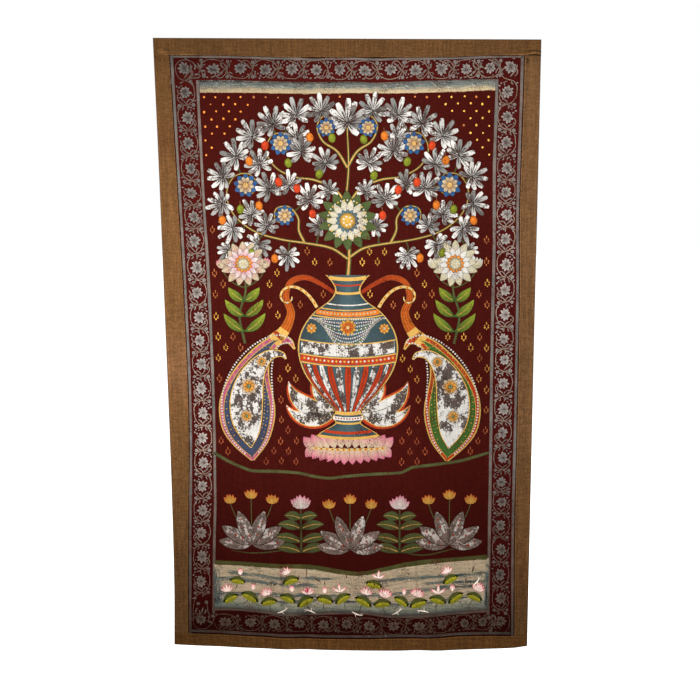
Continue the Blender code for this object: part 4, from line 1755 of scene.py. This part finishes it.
def paisley(b, x, z, height, side, field, hem):
    """A tall paisley: a gold and pearl rim, a coloured field and a silver paisley inside."""
    path = PAISLEY_LINE * (side, 1) * height + (x, z)
    width = along_run(PAISLEY_WIDTH, np.linspace(0, 1, len(path))) * height
    layers = ((b.matt, 5, DARK), (b.gold, 2, GOLD), (b.matt, -5, hem), (b.gold, -21, GOLD * 0.9),
              (b.matt, -25, field))
    for coat, (paint, more, tint) in enumerate(layers):
        paint.stroke(path, np.maximum(width + more * MM, 0), tint, coat, edge=0.85)
    off = beside(path)
    for row, tints in ((PearlRow(6, 3, 7.4, 2.4), (WHITE,)),
                       (PearlRow(18, 8, 9.0, 1.7), (GOLD, field * 2)),
                       (PearlRow(26, 12, 9.0, 1.5), (GOLD,))):
        half = width / 2 - row.inset * MM
        part = slice(row.first, -row.first)
        for way in (-1, 1):
            run = (path + off * way * half[:, None])[part][half[part] > 1.5 * MM]
            with over(5):
                pearls(b, run, row.gap * MM, row.radius * MM, *tints)
    inner = (path - (x, z)) * (0.86, 0.78) + (x + 0.004 * side, z + 0.10 * height)
    layers = ((b.matt, 3, DARK), (b.gold, 0, GOLD), (b.silver, -5, SILVER))
    for coat, (paint, more, tint) in enumerate(layers, 6):
        paint.stroke(inner[:-2], np.maximum(width * 0.60 + more * MM, 0)[:-2], tint, coat)
    for share, size in ((0.25, 0.9), (0.46, 1.15), (0.66, 0.8)):
        with over(10):
            bloom(b, *inner[int(share * (len(inner) - 1))], 0.019 * size, 8,
                  ((hem, CREAM), (ORANGE, GOLD)), GREEN)


def side_plant(b, x, side, field, hem, petal):
    """A great bloom on a stem over a paisley, with paired leaves and two buds."""
    stem = smooth(((x, -0.730), (x + side * 0.012, -0.66), (x - side * 0.004, -0.60),
                   (x, -0.545)), 8)
    b.matt.stroke(stem, mm(6, 4), OLIVE * 0.8)
    for z, size in ((-0.700, 0.070), (-0.662, 0.064), (-0.624, 0.052)):
        for way in (-1, 1):
            with over(2):
                leaf(b, bent(x, z, 90 - way * 66, size, bend=way * 40), 22 * MM,
                     vary(GREEN * 0.8), tip=vary(LEAF_GREEN), rib=GOLD)
    for way in (-1, 1):
        twig = bent(x, -0.59, 90 - way * 76, 0.074, bend=way * 60, count=12)
        b.matt.stroke(twig, mm(2.8, 2.0), OLIVE * 0.8)
        with over(2):
            lotus(b, *twig[-1], 0.027, petals=5, spread=70, body=CREAM, tip=petal)
    with over(6):
        bloom(b, x, -0.532, 0.056, 13,
              ((petal * 0.8, CREAM), (petal, WHITE), (GOLD, ORANGE)), CREAM)
    paisley(b, x - side * 0.014, -1.030, 0.330, side, field, hem)


def silver_plant(b, x, z, size):
    """A spread of oval silver leaves, dabbed with red, and orange buds over them."""
    for turn in (-34, 34, 0):
        stem = bent(x, z, 90 - turn, size * 0.86, bend=turn * 0.5, count=10)
        b.matt.stroke(stem, mm(2.6, 1.8), OLIVE)
        with over(2):
            lotus(b, *stem[-1], size * 0.19, petals=5, spread=96, body=GOLD, tip=VERMILION)
    for index, turn in enumerate((-96, 96, -66, 66, -24, 24)):
        path = bent(x, z + 3 * MM, 90 - turn, size * (0.66 - 0.0006 * abs(turn)),
                    bend=turn * 0.22, count=12)
        with over(3 + index // 2 * 3):
            leaf(b, path, size * 0.235, vary(SILVER * 0.85), tip=vary(SILVER),
                 rim=FIELD * 0.5, shape=OVAL, paint=b.worn, line_width=4.0 * MM)
            b.bright.stroke(path[1:-2], mm(2, 5, 7, 3), SILVER * 0.95, 2)
            for at in (3, 6, 8):
                spot = path[at] + (jitter(5 * MM), jitter(4 * MM))
                b.matt.disc(*spot, rand(1.6, 2.8) * MM, vary(VERMILION * 0.8), 3, tall=1.4)


def green_plant(b, x, z, size):
    """A shrub of gold-ribbed leaves in pairs up a stem, with a lotus at its head."""
    stem = bent(x, z, 90, size * 0.80, count=14)
    b.matt.stroke(stem, mm(5.5, 3), OLIVE * 0.8)
    for share, reach in ((0.06, 0.50), (0.30, 0.50), (0.54, 0.42), (0.78, 0.30)):
        at = stem[int(share * 13)]
        for way in (-1, 1):
            path = bent(*at, 90 - way * 60, size * reach, bend=-way * 40, count=14)
            with over(2):
                leaf(b, path, size * 0.17, vary(OLIVE * 0.75), tip=vary(OLIVE * 1.2))
            b.gold.stroke(path[1:-1], mm(2.4, 0.8), GOLD, 4)
            for vein in range(3, 12, 2):
                ahead = path[vein + 1] - path[vein]
                heading = np.degrees(np.arctan2(ahead[1], ahead[0]))
                for turn in (-42, 42):
                    b.matt.stroke(bent(*path[vein], heading + turn, size * 0.05),
                                  mm(0.9, 0.4), OLIVE * 0.4, 4)
    with over(6):
        lotus(b, *stem[-1], size * 0.25, petals=7, spread=110)


PAD_BACK = pigment(46, 54, 24)
PAD_STALK = pigment(58, 68, 54)


def pad(b, x, z, length, tilt):
    """A lotus leaf seen from its edge: a green back, a bright scalloped front and its stalk."""
    a = radians(tilt)
    along, up = np.array([cos(a), sin(a)]), np.array([-sin(a), cos(a)]) * length
    share = np.linspace(-0.5, 0.5, 17)[:, None]
    run = np.array([x, z]) + along * share * length + up * (0.25 - share**2) * 0.40
    stalk = bent(*(run[8] - up * 0.2), tilt - 90 + jitter(20), length * 0.42, bend=jitter(30))
    b.matt.stroke(stalk, mm(1.8, 1.2), PAD_STALK)
    b.matt.stroke(run + up * 0.03, LENS * length * 0.48, PAD_BACK, 1)
    b.matt.stroke(run[1:-1] + up * 0.135, LENS * length * 0.21, PAD_BACK * 7.0, 2)
    b.matt.stroke(run[1:-1] - up * 0.095, LENS * length * 0.31,
                  LEAF_GREEN * (1.75, 1.68, 1.35), 2)
    for index in range(9):
        place = 3 + index * 1.25
        at = run[int(place)] * (1 - place % 1) + run[int(place) + 1] * (place % 1)
        out = (index - 4) / 4
        bright = vary(LEAF_GREEN, 0.25) * (2.65, 2.4, 1.7)
        b.matt.disc(*(at - up * (0.045 - 0.02 * out**2)), length * 0.048, bright, 3,
                    rim=bright * 0.8, tall=1.5, turn=a + out * 0.6)
        b.matt.stroke([at - up * 0.06, at - up * 0.20], mm(0.6, 1.2, 0.5),
                      LEAF_GREEN * (0.9, 0.9, 0.8), 3)
        b.matt.stroke([at + up * 0.22, at + up * 0.08], mm(0.6, 1.1), PAD_BACK * 1.2, 3)


# Plants of the pond: place across and up in millimetres, leaf length and tilt, how far to the
# side the lotus stands, and the number of its petals, or 1 for a bud
Plant = namedtuple("Plant", "x z length tilt side petals")

PLANTS = (
    Plant(-304, -1400, 46, 30, -8, 5), Plant(-256, -1396, 51, -30, 10, 1),
    Plant(-205, -1408, 46, 12, -4, 7), Plant(-158, -1398, 46, -28, 12, 1),
    Plant(-110, -1408, 51, 32, 4, 5), Plant(-62, -1402, 48, -14, 0, 1),
    Plant(-14, -1398, 48, 34, -10, 3), Plant(36, -1406, 51, -30, 6, 5),
    Plant(86, -1412, 48, 6, 4, 7), Plant(134, -1406, 46, -34, 8, 1),
    Plant(180, -1412, 51, 24, -6, 7), Plant(228, -1402, 48, -18, 2, 3),
    Plant(276, -1396, 48, 38, -10, 1), Plant(322, -1394, 44, -24, 8, 7),
    Plant(-286, -1352, 42, -8, 8, 1), Plant(-148, -1350, 46, 16, -10, 5),
    Plant(64, -1360, 46, -16, 12, 3), Plant(262, -1346, 46, 28, -8, 5),
)
# White shoots: place in millimetres and heading in degrees
SHOOTS = ((-184, -1434, 14), (-86, -1436, 150), (8, -1430, -34), (112, -1438, 20),
          (206, -1432, 160), (318, -1360, 38))


def pond_plants(b):
    for plant in PLANTS:
        x, z = plant.x * MM, plant.z * MM
        with over(5):
            pad(b, x, z, plant.length * MM, plant.tilt)
        is_bud = plant.petals == 1
        size, petals, spread, wide, lean = (
            (18, 3, 30, 0.40, 6) if is_bud else (rand(22, 26), plant.petals, 128, 0.25, 26))
        with over(11):
            lotus(b, x + plant.side * MM, z + plant.length * 0.44 * MM, size * MM, petals,
                  spread, wide=wide, fade=2.8, lean=jitter(lean),
                  body=WHITE * (2.6, 2.7, 2.8), tip=PINK * (2.5, 0.60, 1.15))
    pale = WHITE * (3.0, 3.2, 3.2)
    for x, z, heading in SHOOTS:
        path = bent(x * MM, z * MM, heading, 31 * MM, bend=30)
        b.matt.stroke(path, mm(0.9, 3.4, 2.6, 0.9), pale, 19)
        for at, turn, length in ((3, -60, 9), (6, 70, 8)):
            b.matt.stroke(bent(*path[at], heading + turn, length * MM), mm(1.8, 0.7), pale, 19)


def middle_design(*materials):
    """Everything in the middle of the field, as layers by their finish."""
    names = ("colours", "silver", "bright_silver", "worn_silver", "gold")
    b = Brushes(*(Paint("design_" + name, material) for name, material in zip(names, materials)))
    tree(b)
    ribbons(b)
    for coats, draw in ((3, foot_leaves), (8, pedestal), (10, vase)):
        with over(coats):
            draw(b)
    side_plant(b, -0.255, -1, SLATE, PINK * 0.8, PINK)
    side_plant(b, 0.262, 1, GREEN * 0.9, VERMILION, SILVER)
    for draw, x, z, size in (
        (silver_plant, -0.247, -1.250, 0.140), (green_plant, -0.121, -1.272, 0.146),
        (silver_plant, 0.004, -1.262, 0.140), (green_plant, 0.130, -1.272, 0.146),
        (silver_plant, 0.256, -1.250, 0.140),
    ):
        draw(b, x, z, size)
    return b


# Light, floor and camera
ROOM_LIGHT = 0.42
FLOOR_HALF = 12.0
FLOOR_DROP = 0.21
FLOOR_PLACES = 13


def make_camera():
    forward = Vector((sin(CAMERA_YAW) * cos(CAMERA_DOWN), cos(CAMERA_YAW) * cos(CAMERA_DOWN),
                      -sin(CAMERA_DOWN)))
    level = Vector((cos(CAMERA_YAW), -sin(CAMERA_YAW), 0))
    upright = level.cross(forward)
    right = level * cos(CAMERA_ROLL) + upright * sin(CAMERA_ROLL)
    up = -level * sin(CAMERA_ROLL) + upright * cos(CAMERA_ROLL)
    data = bpy.data.cameras.new("camera")
    data.lens = CAMERA_LENS
    data.sensor_width = 36
    data.sensor_fit = "HORIZONTAL"
    camera = bpy.data.objects.new("camera", data)
    turn = Matrix((right, up, -forward)).transposed()
    camera.matrix_world = Matrix.Translation(CAMERA_PLACE) @ turn.to_4x4()
    bpy.context.scene.collection.objects.link(camera)
    bpy.context.scene.camera = camera


def lamp(name, kind, place, aim, power, colour=(1, 1, 1), **settings):
    data = bpy.data.lights.new(name, kind)
    data.energy = power
    data.color = colour
    for key, value in settings.items():
        setattr(data, key, value)
    obj = bpy.data.objects.new(name, data)
    obj.location = place
    obj.rotation_euler = (Vector(aim) - Vector(place)).to_track_quat("-Z", "Y").to_euler()
    obj.visible_camera = False
    bpy.context.scene.collection.objects.link(obj)


def make_light():
    lamp("key", "SPOT", (-0.70, -1.70, -0.20), (0.09, 0, -0.66), 235, (1.0, 0.985, 0.96),
         spot_size=1.15, spot_blend=1.0, shadow_soft_size=0.12)
    lamp("corner_fill", "SPOT", (0.85, -1.60, 0.30), (0.44, 0, -0.10), 34, (1.0, 1.0, 1.0),
         spot_size=0.75, spot_blend=1.0, shadow_soft_size=0.12)
    lamp("foot_fill", "SPOT", (-0.45, -1.60, -0.70), (-0.02, 0, -1.52), 32, (1.0, 0.97, 0.93),
         spot_size=0.85, spot_blend=1.0, shadow_soft_size=0.12)
    lamp("back_fill", "AREA", (0.8, 2.6, 0.6), (0, 0, -0.8), 60, shape="SQUARE", size=1.6)
    world = bpy.data.worlds.new("white studio")
    bpy.context.scene.world = world
    world.use_nodes = True
    nodes, links = world.node_tree.nodes, world.node_tree.links
    seen = nodes.new("ShaderNodeLightPath")
    strength = nodes.new("ShaderNodeMapRange")
    strength.inputs["To Min"].default_value = ROOM_LIGHT
    strength.inputs["To Max"].default_value = 1.0
    links.new(seen.outputs["Is Camera Ray"], strength.inputs["Value"])
    links.new(strength.outputs["Result"], nodes["Background"].inputs["Strength"])
    nodes["Background"].inputs["Color"].default_value = (1, 1, 1, 1)


def make_floor():
    mesh = bpy.data.meshes.new("floor")
    height = cad_box[0].z - FLOOR_DROP
    steps = np.linspace(-FLOOR_HALF, FLOOR_HALF, FLOOR_PLACES)
    x, y = np.meshgrid(steps, steps)
    points = np.stack([x, y, np.full_like(x, height)], -1).reshape(-1, 3)
    mesh.from_pydata(points.tolist(), [], grid_faces(FLOOR_PLACES, FLOOR_PLACES))
    mesh.materials.append(pale_floor())
    floor = bpy.data.objects.new("floor", mesh)
    floor.visible_diffuse = False
    floor.visible_glossy = False
    bpy.context.scene.collection.objects.link(floor)


def main():
    bpy.context.scene.view_settings.view_transform = "Standard"
    make_camera()
    make_light()
    make_floor()
    panel = make_panel()
    brown = dyed_cotton("brown cotton", 1.0 * MM, 0.04, 0.24, 0.17, sheen=0.03)
    for strip in STRIPS:
        make_strip(strip, brown)
    stitches(dyed_cotton("sewing thread", 0.4 * MM, 0.04, 0.12, 0.05))
    matt = gouache("cloth paint")
    silver = gouache("silver leaf", wear=0.62, rough=0.6, specular=0.10, mottle=1.0)
    bright = gouache("bright silver leaf", wear=0.61, rough=0.6, specular=0.10, mottle=0.86,
                     kept=0.505)
    worn = gouache("worn silver leaf", wear=0.60, rough=0.65, specular=0.08, mottle=1.0,
                   kept=0.41, tarnish=TARNISH * (1.45, 1.40, 1.34))
    gold = gouache("gold paint", wear=0.60, rough=0.5, specular=0.2)
    with over():
        design = middle_design(matt, silver, bright, worn, gold)
    taken = covered_by(design)
    painting = [frame_lines(matt), *scroll(matt), sky_band(matt), pond(matt),
                ground_lines(matt), dots(matt, taken), sprigs(matt, taken)]
    with over(8):
        pond_plants(design)
    painting += [paint.lay() for paint in design]


main()
